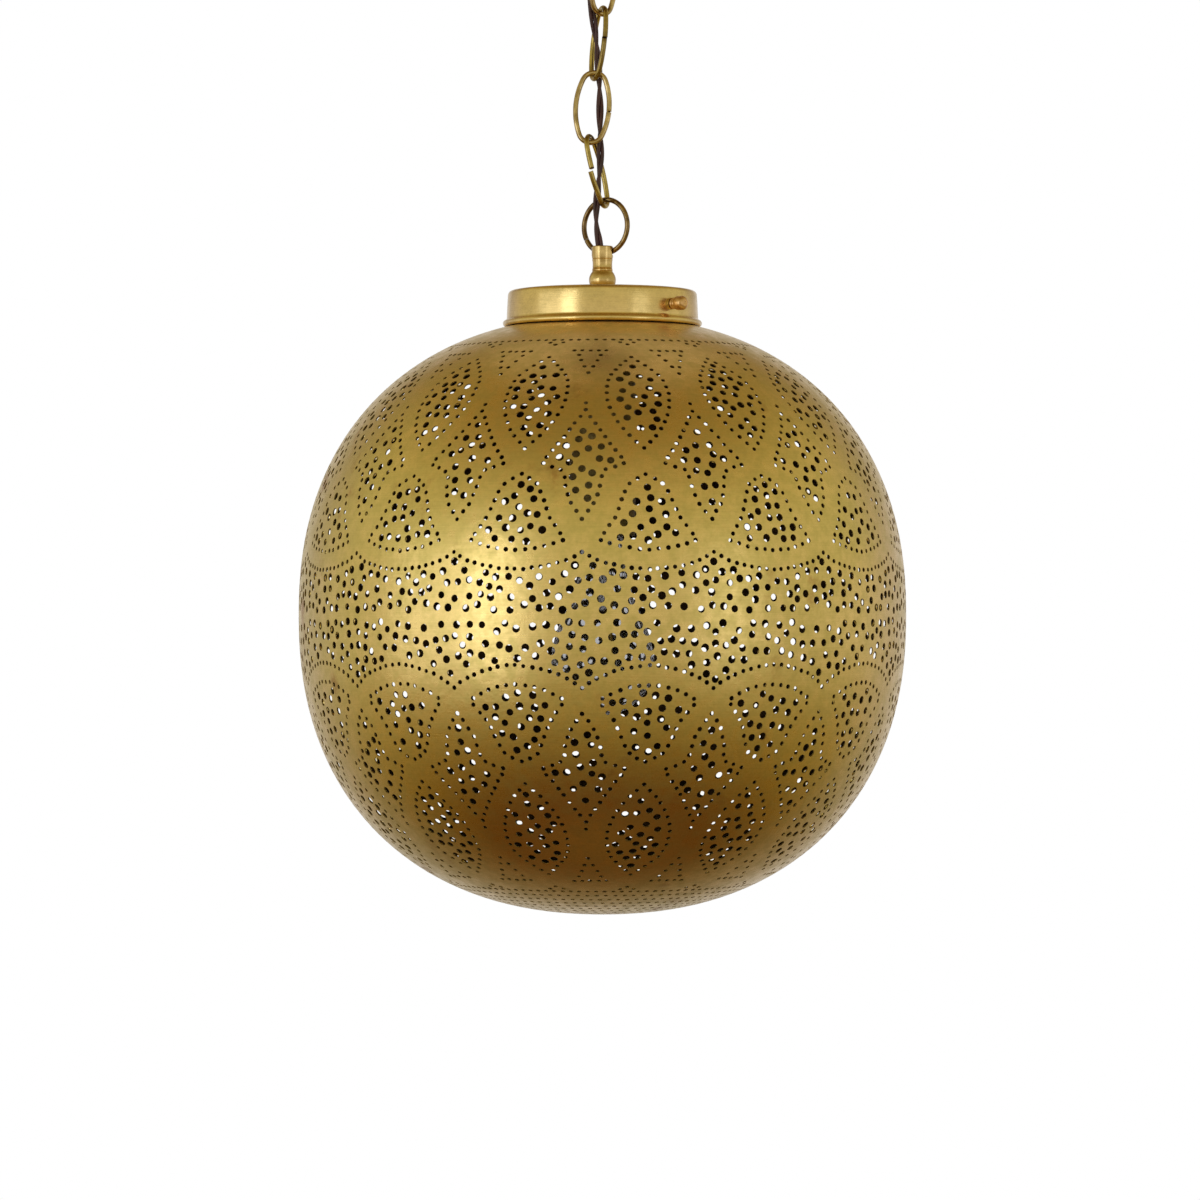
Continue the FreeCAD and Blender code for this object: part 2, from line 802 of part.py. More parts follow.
def holder_insert():
    """Porcelain block with a round pocket for the socket shell and two wire holes."""
    r = insert_radius
    low = socket_top
    block = cylinder(r, low + 0.6, holder_joint + 6.0)
    seat = tube(r, insert_bore, socket_foot, low + 0.6)
    solid = block.fuse(seat)
    high = holder_joint + 6.0 + EXTRA
    for side in (-1, 1):
        x = side * holder_wire_x
        solid = solid.cut(cylinder(core_radius + 0.3, low + 8.0, high, x))
        bore = holder_screw_radius + 0.02
        solid = solid.cut(cylinder(bore, holder_joint + 1.0, high, x, -holder_screw_back))
    solid = solid.cut(cylinder(2.2, low - EXTRA, low + 7.0))
    return solid.removeSplitter()


def socket_shell():
    """Brass shell with a rolled Edison thread."""
    r = socket_radius
    w = socket_wall
    low = socket_foot
    pitch = 3.6
    wave = 0.3
    turns = int((socket_top - 4.0 - low) / pitch)
    outline = [(r, low)]
    for i in range(turns):
        z = low + pitch * i
        outline.append(((r + wave, z + 0.25 * pitch), (r, z + 0.5 * pitch)))
        outline.append((r, z + pitch))
    outline.append((r, socket_top))
    outline.append((r + w, socket_top))
    outline.append((r + w, low))
    return lathe(*outline)


def centre_contact():
    low = bulb_cap_top + 0.9
    strip = Part.makeBox(14.0, 4.0, 0.5, V(-7.0, -2.0, low + 3.2))
    pip = cylinder(2.0, low, low + 3.2)
    return strip.fuse(pip).removeSplitter()


def holder_screws():
    low = holder_joint + 1.0
    screws = []
    for side in (-1, 1):
        screw = cylinder(holder_screw_radius, low, low + 6.0, side * holder_wire_x, -holder_screw_back)
        corner = V(side * holder_wire_x - 2.0, -holder_screw_back - 0.3, low + 5.3)
        slot = Part.makeBox(4.0, 0.6, 0.9, corner)
        screws.append(screw.cut(slot))
    return Part.makeCompound(screws)


def holder_leads():
    """Two cores from the foot of the flex, out of the stem and into the porcelain."""
    leads = []
    x, y, z = flex_route[-1]
    for side in (-1, 1):
        route = [
            V(x + side * core_radius, y, z - globe_z),
            V(x + side * core_radius, y, stem_foot),
            V(side * 3.2, 0.8, stem_foot - 9.0),
            V(side * 7.0, 0.6, holder_joint + 17.0),
            V(side * holder_wire_x, 0.0, holder_joint + 8.0),
            V(side * holder_wire_x, 0.0, holder_joint - 4.0),
        ]
        path, radii = rounded_path(route)
        leads.append(swept(path, core_radius))
    return Part.makeCompound(leads)


def bulb_cap():
    """Thin brass cap with a rolled Edison thread."""
    low = bulb_cap_foot
    high = low + bulb_cap_length
    pitch = 3.6
    wave = 0.35
    r = bulb_cap_radius - wave
    outline = [(r - bulb_cap_wall, low), (r, low), (r, low + 2.2)]
    for i in range(5):
        z = low + 2.2 + pitch * i
        outline.append(((r + wave, z + 0.5 * pitch), (r, z + pitch)))
    outline += [(r - 3.0, high), (r - 3.0 - bulb_cap_wall, high), (r - bulb_cap_wall, low + 2.2 + 5 * pitch)]
    return lathe(*outline)


def bulb_insulator():
    low = bulb_cap_foot + bulb_cap_length
    high = bulb_cap_top - 1.0
    return lathe((0, low), (bulb_cap_radius - 3.4, low), (4.8, high), (0, high))


def bulb_contact():
    low = bulb_cap_top - 1.0
    high = low + 1.0
    return lathe((0, low), (4.6, low), (4.6, low + 0.3), ((3.4, low + 0.8), (1.2, high)), (0, high))


def bulb_glass():
    """Blown pear: a round end, a tangent shoulder and a neck that enters the cap."""
    w = bulb_glass_wall
    r = bulb_radius
    neck = bulb_cap_radius - 1.6
    top = bulb_cap_foot + 1.4
    centre = bulb_foot + r

    def profile(inset):
        return [
            (0, bulb_foot + inset),
            ((math.sqrt(0.5) * (r - inset), centre - math.sqrt(0.5) * (r - inset)), (r - inset, centre)),
            ((0.90 * r - inset, centre + 0.55 * r), (0.64 * r - inset, centre + 1.12 * r)),
            ((0.475 * r - inset, centre + 1.75 * r), (neck - inset, top)),
        ]

    outer = profile(0.0)
    inner = profile(w)
    back = [
        inner[3][1],
        (inner[3][0], inner[2][1]),
        (inner[2][0], inner[1][1]),
        (inner[1][0], inner[0]),
    ]
    return lathe(*(outer + back))


def bulb_mount():
    """Glass stem inside the bulb that carries the filaments."""
    top = bulb_cap_foot + 1.4
    foot = bulb_foot + bulb_radius + 30.0
    return lathe(
        (0, top), (7.5, top), (5.0, top - 6.0), (2.6, top - 14.0),
        (2.4, foot + 1.0), (1.4, foot), (0, foot),
    )


def bulb_filaments():
    sticks = []
    low = bulb_foot + bulb_radius + 4.0
    for i in range(filament_count):
        a = math.radians(45 + 360 * i / filament_count)
        x = filament_circle * math.cos(a)
        y = filament_circle * math.sin(a)
        sticks.append(cylinder(filament_radius, low, low + filament_length, x, y))
    return Part.makeCompound(sticks)


# ---- every node, with True for a piece drawn about the globe's centre
def build():
    nodes = {
        "ceiling_bracket": (ceiling_bracket(), False),
        "canopy_cover": (canopy_cover(), False),
        "canopy_loop": (canopy_loop(), False),
        "loop_nuts": (loop_nuts(), False),
        "flex_gland": (flex_gland(), False),
        "gland_nut": (gland_nut(), False),
        "terminal_block": (terminal_block(), False),
        "terminal_screws": (terminal_screws(), False),
        "ceiling_leads": (ceiling_leads(), False),
        "hanging_ring": (placed_ring(), False),
        "finial": (finial(), True),
        "stem": (stem(), True),
        "gallery": (gallery(), True),
        "screw_bosses": (screw_bosses(), True),
        "globe_upper": (globe_upper(), True),
        "globe_lower": (globe_lower(), True),
        "stem_washer": (stem_washer(), True),
        "stem_nut": (stem_nut(), True),
        "spacer_tube": (spacer_tube(), True),
        "holder_cover": (holder_cover(), True),
        "cover_nut": (cover_nut(), True),
        "holder_cap": (holder_cap(), True),
        "holder_skirt": (holder_skirt(), True),
        "holder_insert": (holder_insert(), True),
        "socket_shell": (socket_shell(), True),
        "centre_contact": (centre_contact(), True),
        "holder_screws": (holder_screws(), True),
        "holder_leads": (holder_leads(), True),
        "bulb_cap": (bulb_cap(), True),
        "bulb_insulator": (bulb_insulator(), True),
        "bulb_contact": (bulb_contact(), True),
        "bulb_glass": (bulb_glass(), True),
        "bulb_mount": (bulb_mount(), True),
        "bulb_filaments": (bulb_filaments(), True),
    }
    for i in range(len(link_azimuths)):
        nodes[f"link_{i + 1}"] = (placed_link(i), False)
    for i, a in enumerate(thumbscrew_azimuths):
        nodes[f"thumbscrew_{i + 1}"] = (thumbscrew(a), True)
    tubes, report = flex_tubes()
    for i, solid in enumerate(tubes):
        nodes[f"flex_{i + 1}"] = (solid, False)
        length, tightest, ratio = report[i]
        print(f"flex_{i + 1}: length {length:.1f}, tightest radius {tightest:.1f}, volume ratio {ratio:.4f}")
    return nodes


os.makedirs("parts", exist_ok=True)
for point, name in zip(hang, ("eye", "link_1", "link_2", "link_3", "link_4", "ring")):
    print(f"{name}: lowest wire centre {point.x:.3f} {point.y:.3f} {point.z:.3f}")
print(f"globe centre z {globe_z:.3f}")
for name, (shape, about_globe) in build().items():
    if about_globe:
        shape.translate(V(0, 0, globe_z))
    if not shape.isValid():
        print(f"{name} is not valid")
    shape.exportStep(f"parts/{name}.step")
    print(f"{name}: {len(shape.Solids)} solids, {shape.Volume:.0f} mm3")
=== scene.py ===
"""Pierced brass globe lantern on a chain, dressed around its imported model.

Metres, +Z up, the ceiling at z = 0.
"""
import bpy
import bisect
import json
import math
import random
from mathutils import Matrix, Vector

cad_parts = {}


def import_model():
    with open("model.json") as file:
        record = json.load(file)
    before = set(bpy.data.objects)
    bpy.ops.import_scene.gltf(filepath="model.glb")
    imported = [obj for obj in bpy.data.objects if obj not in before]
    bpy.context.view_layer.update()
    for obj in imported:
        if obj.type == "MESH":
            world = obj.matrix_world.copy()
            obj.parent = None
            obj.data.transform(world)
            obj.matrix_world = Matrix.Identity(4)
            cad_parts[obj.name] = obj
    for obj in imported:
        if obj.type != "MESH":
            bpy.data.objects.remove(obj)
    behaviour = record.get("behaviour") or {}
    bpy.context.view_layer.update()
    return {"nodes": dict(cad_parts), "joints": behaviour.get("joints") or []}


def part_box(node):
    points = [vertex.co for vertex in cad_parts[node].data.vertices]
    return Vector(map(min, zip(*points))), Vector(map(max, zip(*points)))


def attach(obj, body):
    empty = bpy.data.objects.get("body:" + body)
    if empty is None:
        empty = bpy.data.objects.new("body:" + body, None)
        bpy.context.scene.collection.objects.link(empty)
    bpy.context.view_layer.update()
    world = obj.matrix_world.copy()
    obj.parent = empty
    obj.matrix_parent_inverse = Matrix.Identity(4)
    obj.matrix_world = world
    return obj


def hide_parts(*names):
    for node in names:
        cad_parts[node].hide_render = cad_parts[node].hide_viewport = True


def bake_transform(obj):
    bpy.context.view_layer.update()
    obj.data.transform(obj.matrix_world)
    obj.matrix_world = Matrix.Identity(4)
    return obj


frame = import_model()

MM = 0.001
UP = Vector((0, 0, 1))
TURN = 2 * math.pi
scene = bpy.context.scene


def put(name, data):
    """An object of the data, in the scene."""
    made = bpy.data.objects.new(name, data)
    scene.collection.objects.link(made)
    return made


def plain_mesh(piece):
    """The mesh that a piece's modifiers or its curve give."""
    return bpy.data.meshes.new_from_object(piece.evaluated_get(bpy.context.evaluated_depsgraph_get()))


def mm(metres):
    return metres / MM


# ---- places that the frame gives
def joint_place(name):
    return Vector(next(j["pos_m"] for j in frame["joints"] if j["name"] == name))


globe_low, globe_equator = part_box("globe_lower")
globe_radius = globe_equator.x
globe_z = globe_equator.z
globe_half_height = globe_z - globe_low.z
gallery_low, gallery_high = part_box("gallery")
hanging = [joint_place(f"link_{i}_swing") for i in (1, 2, 3, 4)]
hanging += [joint_place("ring_swing"), joint_place("lantern_swing")]


# ---- camera
CAMERA_DISTANCE = 2.35
CAMERA_LENS = 122.06
CAMERA_ASIDE = -1.4 * MM
CAMERA_RAISED = 8.66 * MM  # over the globe's middle


def camera():
    data = bpy.data.cameras.new("camera")
    data.sensor_width = 36
    data.lens = CAMERA_LENS
    made = put("camera", data)
    made.location = (CAMERA_ASIDE, -CAMERA_DISTANCE, globe_z + CAMERA_RAISED)
    made.rotation_euler = (math.pi / 2, 0, 0)
    scene.camera = made


camera()


# ---- nodes: one class for sockets, one for trees
class Wire:
    """One output of a node.  Arithmetic on it adds Math nodes."""

    def __init__(self, bench, socket):
        self.bench = bench
        self.socket = socket

    def other(self, key):
        """Another output of the same node."""
        return Wire(self.bench, self.socket.node.outputs[key])

    def maths(self, operation, *values):
        return self.bench.node("ShaderNodeMath", {"operation": operation}, dict(enumerate(values)))

    def __add__(self, b): return self.maths("ADD", self, b)
    def __radd__(self, b): return self.maths("ADD", b, self)
    def __sub__(self, b): return self.maths("SUBTRACT", self, b)
    def __rsub__(self, b): return self.maths("SUBTRACT", b, self)
    def __mul__(self, b): return self.maths("MULTIPLY", self, b)
    def __rmul__(self, b): return self.maths("MULTIPLY", b, self)
    def __truediv__(self, b): return self.maths("DIVIDE", self, b)
    def root(self): return self.maths("SQRT", self)
    def above(self, b): return self.maths("GREATER_THAN", self, b)


class Bench:
    """Adds nodes to one node tree."""

    def __init__(self, tree):
        self.tree = tree

    def node(self, kind, settings=None, feeds=None, out=0):
        """Make any node: its type, its settings, then the values or links of its sockets."""
        made = self.tree.nodes.new(kind)
        for name, value in (settings or {}).items():
            if name == "stops":
                ramp = made.color_ramp
                while len(ramp.elements) < len(value):
                    ramp.elements.new(0.5)
                for stop, (at, colour) in zip(ramp.elements, value):
                    stop.position = at
                    stop.color = colour if len(colour) == 4 else (*colour, 1)
            else:
                setattr(made, name, value)
        for key, value in (feeds or {}).items():
            self.feed(made.inputs[key], value)
        return Wire(self, made.outputs[out]) if made.outputs else made

    def feed(self, socket, value):
        for one in value if isinstance(value, list) else [value]:
            if isinstance(one, Wire):
                self.tree.links.new(one.socket, socket)
            else:
                socket.default_value = one

    def mix(self, share, a, b):
        """Colour a where share is 0, b where it is 1."""
        return self.node(
            "ShaderNodeMix", {"data_type": "RGBA"},
            {0: share, 6: opaque(a), 7: opaque(b)}, 2,
        )

    def spread(self, value, low, high, to_low=0.0, to_high=1.0):
        """Map a value's range on to another, held at both ends."""
        return self.node(
            "ShaderNodeMapRange", {"interpolation_type": "SMOOTHSTEP"},
            {"Value": value, "From Min": low, "From Max": high, "To Min": to_low, "To Max": to_high},
        )

    def noise(self, vector, scale, detail=3.0, roughness=0.55):
        return self.node(
            "ShaderNodeTexNoise", {},
            {"Vector": vector, "Scale": scale, "Detail": detail, "Roughness": roughness},
        )

    def vector(self, x, y, z):
        return self.node("ShaderNodeCombineXYZ", {}, {0: x, 1: y, 2: z})


def opaque(colour):
    return colour if isinstance(colour, Wire) or len(colour) == 4 else (*colour, 1)


# ---- metals and other finishes
class Finish(Bench):
    """A material with one Principled shader, and the coordinates that its patterns follow."""

    def __init__(self, name, **constants):
        self.material = bpy.data.materials.new(name)
        self.material.use_nodes = True
        super().__init__(self.material.node_tree)
        self.shader = next(n for n in self.tree.nodes if n.type == "BSDF_PRINCIPLED")
        for socket, value in constants.items():
            self.shader.inputs[socket.replace("_", " ")].default_value = value
        self.place = self.node("ShaderNodeTexCoord", out="Object")

    def around(self, centre_z):
        """Radius from the lantern's axis, height over a level, and the angle round the axis."""
        x = self.node("ShaderNodeSeparateXYZ", {}, {0: self.place})
        y = x.other("Y")
        z = x.other("Z")
        return (x * x + y * y).root(), z - centre_z, x.maths("ARCTAN2", y, x)

    def give(self, **feeds):
        for socket, value in feeds.items():
            self.feed(self.shader.inputs[socket.replace("_", " ")], value)
        return self

    def bump(self, height, depth, distance=MM):
        normal = self.node(
            "ShaderNodeBump", {}, {"Strength": depth, "Distance": distance, "Height": height}
        )
        return self.give(Normal=normal)


def brass(name, clean, olive, brown, browning, gloss, line_depth, unevenness=0.2, haze=0.34, seed=0.0):
    """Spun or drawn brass: fine lines round the axis, an uneven olive film, and brown where it has toned."""
    made = Finish(name, Metallic=1.0)
    radius, height, angle = made.around(globe_z)
    shifted = made.node(
        "ShaderNodeVectorMath", {"operation": "ADD"}, {0: made.place, 1: (seed, seed, seed)}
    )
    cloud = made.noise(shifted, 9.0, 4.0, 0.6)
    blotch = made.noise(shifted, 42.0, 5.0, 0.65)
    smudge = made.noise(shifted, 150.0, 4.0, 0.62)
    speck = made.noise(shifted, 420.0, 3.0, 0.6)
    lines = made.noise(made.vector(radius * 2200.0, height * 2200.0, angle * 6.0), 1.0, 2.0, 0.5)
    film = made.spread(cloud * 0.5 + smudge * 0.5, 0.40, 0.60)
    toned = made.spread(cloud * 0.45 + blotch * 0.55, 0.60 - browning, 0.74 - browning)
    colour = made.mix(film, clean, olive)
    colour = made.mix(toned * 0.85, colour, brown)
    shade = made.spread(speck * 0.3 + lines * 0.3 + smudge * 0.4, 0.38, 0.66)
    colour = made.mix(shade * haze, colour, [c * 0.62 for c in olive])
    rough = gloss + film * 0.05 + toned * 0.07 + (lines - 0.5) * 0.10 + (smudge - 0.5) * 0.12
    made.give(Base_Color=colour, Roughness=rough)
    waves = cloud * 2.0 + blotch * 0.9 + smudge * 0.12
    return made.bump(waves * unevenness + lines * 0.05, line_depth * 8, 0.5 * MM).material


BROWN = (0.40, 0.19, 0.05)

materials = {
    "globe_brass": brass(
        "spun globe brass", (0.86, 0.64, 0.27), (0.76, 0.60, 0.22), BROWN, 0.03, 0.29, 0.10, unevenness=0.8
    ),
    "collar_brass": brass(
        "spun collar brass", (0.86, 0.64, 0.30), (0.77, 0.58, 0.26), BROWN, 0.0, 0.21, 0.16, unevenness=0.03
    ),
    "turned_brass": brass(
        "turned finial brass", (0.84, 0.62, 0.31), (0.66, 0.47, 0.21), BROWN, 0.02, 0.16, 0.06
    ),
    # links 1 and 3 take this paler chain brass and links 2 and 4 the darker copy below: one brass in lit and
    # shaded copies, painted light and shade
    "chain_brass": brass(
        "drawn chain brass", (0.80, 0.62, 0.36), (0.42, 0.30, 0.14), (0.13, 0.065, 0.03), 0.08, 0.16, 0.04
    ),
    # darker, more olive copy of the chain brass for links 2 and 4: painted shade
    "painted_shade_chain_brass": brass(
        "olive chain brass", (0.62, 0.48, 0.17), (0.38, 0.28, 0.10), (0.10, 0.045, 0.02), 0.09, 0.18, 0.04,
        seed=3.0,
    ),
    "antique_brass": brass(
        "toned ring brass", (0.42, 0.29, 0.14), (0.15, 0.09, 0.045), (0.055, 0.028, 0.015), 0.11, 0.17, 0.04
    ),
    "canopy_brass": brass(
        "antiqued canopy brass", (0.52, 0.38, 0.17), (0.38, 0.27, 0.11), (0.22, 0.12, 0.05), 0.0, 0.26, 0.06
    ),
    "red_brass": brass(
        "red screw brass", (0.80, 0.50, 0.24), (0.64, 0.38, 0.16), (0.34, 0.12, 0.04), 0.0, 0.28, 0.08
    ),
    "dull_brass": brass("dull holder brass", (0.48, 0.34, 0.13), (0.36, 0.28, 0.12), BROWN, 0.05, 0.42, 0.08),
}


def inner_brass():
    """The unpolished inside of the globe, its brass made near black as painted shade so that the holes read
    dark.
    """
    made = Finish("dark inside brass", Metallic=0.7)
    cloud = made.noise(made.place, 30.0, 4.0, 0.6)
    colour = made.mix(made.spread(cloud, 0.35, 0.65), (0.10, 0.055, 0.022), (0.035, 0.018, 0.008))
    made.give(Base_Color=colour, Roughness=made.spread(cloud, 0.3, 0.7, 0.55, 0.8))
    return made.bump(cloud, 0.15).material


def plated_steel():
    made = Finish("zinc plated steel", Metallic=1.0)
    cloud = made.noise(made.place, 60.0, 4.0)
    colour = made.mix(made.spread(cloud, 0.35, 0.65), (0.62, 0.63, 0.62), (0.50, 0.50, 0.46))
    made.give(Base_Color=colour, Roughness=made.spread(cloud, 0.3, 0.7, 0.28, 0.46))
    return made.bump(made.noise(made.place, 900.0, 2.0), 0.08, 0.2 * MM).material


def moulded(name, light, dark, gloss, scale, depth):
    """Moulded or fired material with a faint mottle."""
    made = Finish(name, Coat_Weight=0.25, Coat_Roughness=0.2)
    cloud = made.noise(made.place, scale, 4.0)
    made.give(
        Base_Color=made.mix(made.spread(cloud, 0.35, 0.65), light, dark),
        Roughness=made.spread(cloud, 0.3, 0.7, gloss, gloss + 0.15),
    )
    return made.bump(made.noise(made.place, 8 * scale, 2.0), depth, 0.2 * MM).material


def clear_glass():
    made = Finish("clear bulb glass", Transmission_Weight=1.0, IOR=1.45)
    film = made.noise(made.place, 50.0, 3.0)
    made.give(Roughness=made.spread(film, 0.4, 0.7, 0.0, 0.04))
    return made.material


def phosphor():
    made = Finish("filament phosphor")
    grain = made.noise(made.place, 1500.0, 2.0)
    made.give(Base_Color=made.mix(grain, (0.85, 0.55, 0.12), (0.72, 0.42, 0.06)), Roughness=0.6 + grain * 0.1)
    return made.bump(grain, 0.2, 0.1 * MM).material


def flex_cover():
    """Dark plum braided sheath on each core of the flex."""
    made = Finish("plum flex sheath")
    u = made.node("ShaderNodeUVMap", {"uv_map": "lay"}, out="UV")
    round_core = made.node("ShaderNodeSeparateXYZ", {}, {0: u})
    along_core = round_core.other("Y")
    strands = round_core * 8.0
    rows = along_core * 1400.0
    one = strands.maths("SINE", (strands + rows) * 3.1416)
    two = strands.maths("SINE", (strands - rows) * 3.1416)
    braid = one.maths("MAXIMUM", one, two)
    cloud = made.noise(made.place, 120.0, 3.0)
    colour = made.mix(made.spread(cloud, 0.3, 0.7), (0.056, 0.013, 0.012), (0.020, 0.005, 0.006))
    colour = made.mix(made.spread(braid, -1.0, 1.0) * 0.30, colour, (0.055, 0.018, 0.015))
    made.give(Base_Color=colour, Roughness=made.spread(cloud, 0.3, 0.7, 0.36, 0.5))
    return made.bump(braid, 0.25, 0.1 * MM).material


materials.update({
    "inner_brass": inner_brass(),
    "steel": plated_steel(),
    "brown_phenolic": moulded(
        "brown phenolic", (0.075, 0.032, 0.018), (0.045, 0.018, 0.010), 0.28, 90.0, 0.1
    ),
    "porcelain": moulded("white porcelain", (0.80, 0.78, 0.72), (0.72, 0.69, 0.62), 0.18, 60.0, 0.05),
    "terminal_nylon": moulded("natural nylon", (0.70, 0.68, 0.60), (0.60, 0.58, 0.50), 0.35, 80.0, 0.1),
    "black_glass": moulded("black cap glass", (0.02, 0.02, 0.022), (0.035, 0.033, 0.03), 0.12, 120.0, 0.05),
    "clear_glass": clear_glass(),
    "filament_phosphor": phosphor(),
    "flex_sheath": flex_cover(),
})


# ---- meshes from Geometry Nodes
class Growth(Bench):
    """A Geometry Nodes tree with named inputs, of which the last is always the material."""

    KINDS = {
        float: "NodeSocketFloat", int: "NodeSocketInt", Vector: "NodeSocketVector",
        bpy.types.Object: "NodeSocketObject", bpy.types.Material: "NodeSocketMaterial",
    }

    def __init__(self, name, **inputs):
        super().__init__(bpy.data.node_groups.new(name, "GeometryNodeTree"))
        self.tree.interface.new_socket("Geometry", in_out="OUTPUT", socket_type="NodeSocketGeometry")
        self.tree.interface.new_socket("Geometry", in_out="INPUT", socket_type="NodeSocketGeometry")
        for label, kind in {**inputs, "Material": bpy.types.Material}.items():
            self.tree.interface.new_socket(label, in_out="INPUT", socket_type=self.KINDS[kind])
        self.given = self.node("NodeGroupInput")

    def input(self, label):
        return self.given.other(label)

    def attribute(self, kind, name):
        return self.node("GeometryNodeInputNamedAttribute", {"data_type": kind}, {"Name": name})

    def circle(self, sides, radius):
        return self.node(
            "GeometryNodeCurvePrimitiveCircle", {"mode": "RADIUS"},
            {"Resolution": self.input(sides), "Radius": self.input(radius)},
        )

    def marks(self):
        """Points of the object that is given as the marks."""
        return self.node("GeometryNodeObjectInfo", {}, {"Object": self.input("Marks")}, "Geometry")

    def upright(self, way):
        """Rotation that stands Z along a way."""
        return self.node("FunctionNodeAlignRotationToVector", {"axis": "Z"}, {"Vector": way})

    def rod(self, sides, depth):
        return self.node(
            "GeometryNodeMeshCylinder", {}, {"Vertices": self.input(sides), "Radius": 1.0, "Depth": depth}
        )

    def cut(self, rods):
        """The given geometry with holes where the rods stand."""
        solid = self.node("GeometryNodeRealizeInstances", {}, {0: rods})
        return self.node(
            "GeometryNodeMeshBoolean", {"operation": "DIFFERENCE", "solver": "MANIFOLD"},
            {"Mesh 1": self.input("Geometry"), "Mesh 2": solid},
        )

    def end(self, geometry):
        """Realize what is left of the instances, set the material, and finish the tree."""
        real = self.node("GeometryNodeRealizeInstances", {}, {0: geometry})
        dressed = self.node(
            "GeometryNodeSetMaterial", {}, {"Geometry": real, "Material": self.input("Material")}
        )
        self.node("NodeGroupOutput", {}, {0: dressed})
        return self

    def grow(self, name, mesh, **values):
        """Run the tree on a mesh and keep the result as a plain object at the origin."""
        made = put(name, mesh)
        modifier = made.modifiers.new(name, "NODES")
        modifier.node_group = self.tree
        for item in self.tree.interface.items_tree:
            if item.in_out == "INPUT" and item.name in values:
                modifier[item.identifier] = values[item.name]
        plain = plain_mesh(made)
        made.modifiers.clear()
        made.data = plain
        bpy.data.meshes.remove(mesh)
        return made


def line_mesh(points, closed=False):
    """A chain of edges through the points."""
    mesh = bpy.data.meshes.new("line")
    edges = [(i, i + 1) for i in range(len(points) - 1)]
    if closed:
        edges.append((len(points) - 1, 0))
    mesh.from_pydata([tuple(p) for p in points], edges, [])
    return mesh


def turning_tree():
    """Turns an outline about Z."""
    tree = Growth("turned on a lathe", **{"Steps Round": int, "Spindle": float})
    profile = tree.node("GeometryNodeMeshToCurve", {}, {0: tree.input("Geometry")})
    round_path = tree.circle("Steps Round", "Spindle")
    skin = tree.node("GeometryNodeCurveToMesh", {}, {"Curve": round_path, "Profile Curve": profile})
    return tree.end(tree.node("GeometryNodeMergeByDistance", {}, {"Geometry": skin, "Distance": 2e-6}))


def bar_tree():
    """Round bar along a path."""
    tree = Growth("round bar", **{"Bar Radius": float, "Sides": int})
    path = tree.node("GeometryNodeMeshToCurve", {}, {0: tree.input("Geometry")})
    return tree.end(tree.node(
        "GeometryNodeCurveToMesh", {},
        {"Curve": path, "Profile Curve": tree.circle("Sides", "Bar Radius"), "Fill Caps": True},
    ))


def punching_tree():
    """Repeats one set of marks round the axis, moves each a little, and punches them through a sheet."""
    tree = Growth("punched sheet", **{
        "Marks": bpy.types.Object, "Repeats": int, "Punch Depth": float, "Small Sides": int,
        "Large Sides": int, "Large From": float, "Centre": Vector, "Seed": int, "Uneven Size": float,
    })
    copies = tree.node(
        "GeometryNodeDuplicateElements", {"domain": "POINT"},
        {"Geometry": tree.marks(), "Amount": tree.input("Repeats")},
    )
    counted = tree.node(
        "GeometryNodeStoreNamedAttribute", {"data_type": "INT", "domain": "POINT"},
        {"Geometry": copies, "Name": "turn", "Value": copies.other("Duplicate Index")},
    )
    place = tree.node("GeometryNodeInputPosition")
    angle = tree.attribute("INT", "turn") * TURN / tree.input("Repeats")
    turned_place = tree.node(
        "ShaderNodeVectorRotate", {"rotation_type": "Z_AXIS"}, {"Vector": place, "Angle": angle}
    )
    laid = tree.node("GeometryNodeSetPosition", {}, {"Geometry": counted, "Position": turned_place})
    nudge = tree.node(
        "FunctionNodeRandomValue", {"data_type": "FLOAT_VECTOR"},
        {"Min": (-1, -1, -1), "Max": (1, 1, 1), "Seed": tree.input("Seed")},
    )
    step = tree.node(
        "ShaderNodeVectorMath", {"operation": "SCALE"}, {0: nudge, "Scale": tree.attribute("FLOAT", "wander")}
    )
    moved = tree.node("GeometryNodeSetPosition", {}, {"Geometry": laid, "Offset": step})
    out = tree.node("ShaderNodeVectorMath", {"operation": "SUBTRACT"}, {0: place, 1: tree.input("Centre")})
    radius = tree.attribute("FLOAT", "hole_radius")
    play = tree.input("Uneven Size")
    uneven = tree.node(
        "FunctionNodeRandomValue", {"data_type": "FLOAT"},
        {2: 1 - play, 3: 1 + play, "Seed": tree.input("Seed") + 1}, 1,
    )
    width = radius * uneven
    large = radius.above(tree.input("Large From"))
    facing = tree.upright(out)
    punches = [
        tree.node(
            "GeometryNodeInstanceOnPoints", {},
            {"Points": moved, "Selection": chosen, "Instance": tree.rod(sides, tree.input("Punch Depth")),
             "Rotation": facing, "Scale": tree.vector(width, width, 1.0)},
        )
        for sides, chosen in (("Large Sides", large), ("Small Sides", 1 - large))
    ]
    return tree.end(tree.cut(tree.node("GeometryNodeJoinGeometry", {}, {0: punches})))


def drilling_tree():
    """Drills given holes through a solid: each mark has a direction, a radius and a depth."""
    tree = Growth("drilled", Marks=bpy.types.Object, Sides=int)
    drills = tree.node(
        "GeometryNodeInstanceOnPoints", {},
        {"Points": tree.marks(), "Instance": tree.rod("Sides", 1.0),
         "Rotation": tree.upright(tree.attribute("FLOAT_VECTOR", "aim")),
         "Scale": tree.attribute("FLOAT_VECTOR", "size")},
    )
    return tree.end(tree.cut(drills))


turning = turning_tree()
barring = bar_tree()
punching = punching_tree()
drilling = drilling_tree()
SPINDLE = 1 * MM


def facing_out(piece):
    """Turn a closed mesh's faces outwards if its volume is negative."""
    mesh = piece.data
    mesh.calc_loop_triangles()
    volume = 0.0
    for t in mesh.loop_triangles:
        a, b, c = (mesh.vertices[i].co for i in t.vertices)
        volume += a.dot(b.cross(c))
    if volume < 0:
        mesh.flip_normals()
    return piece


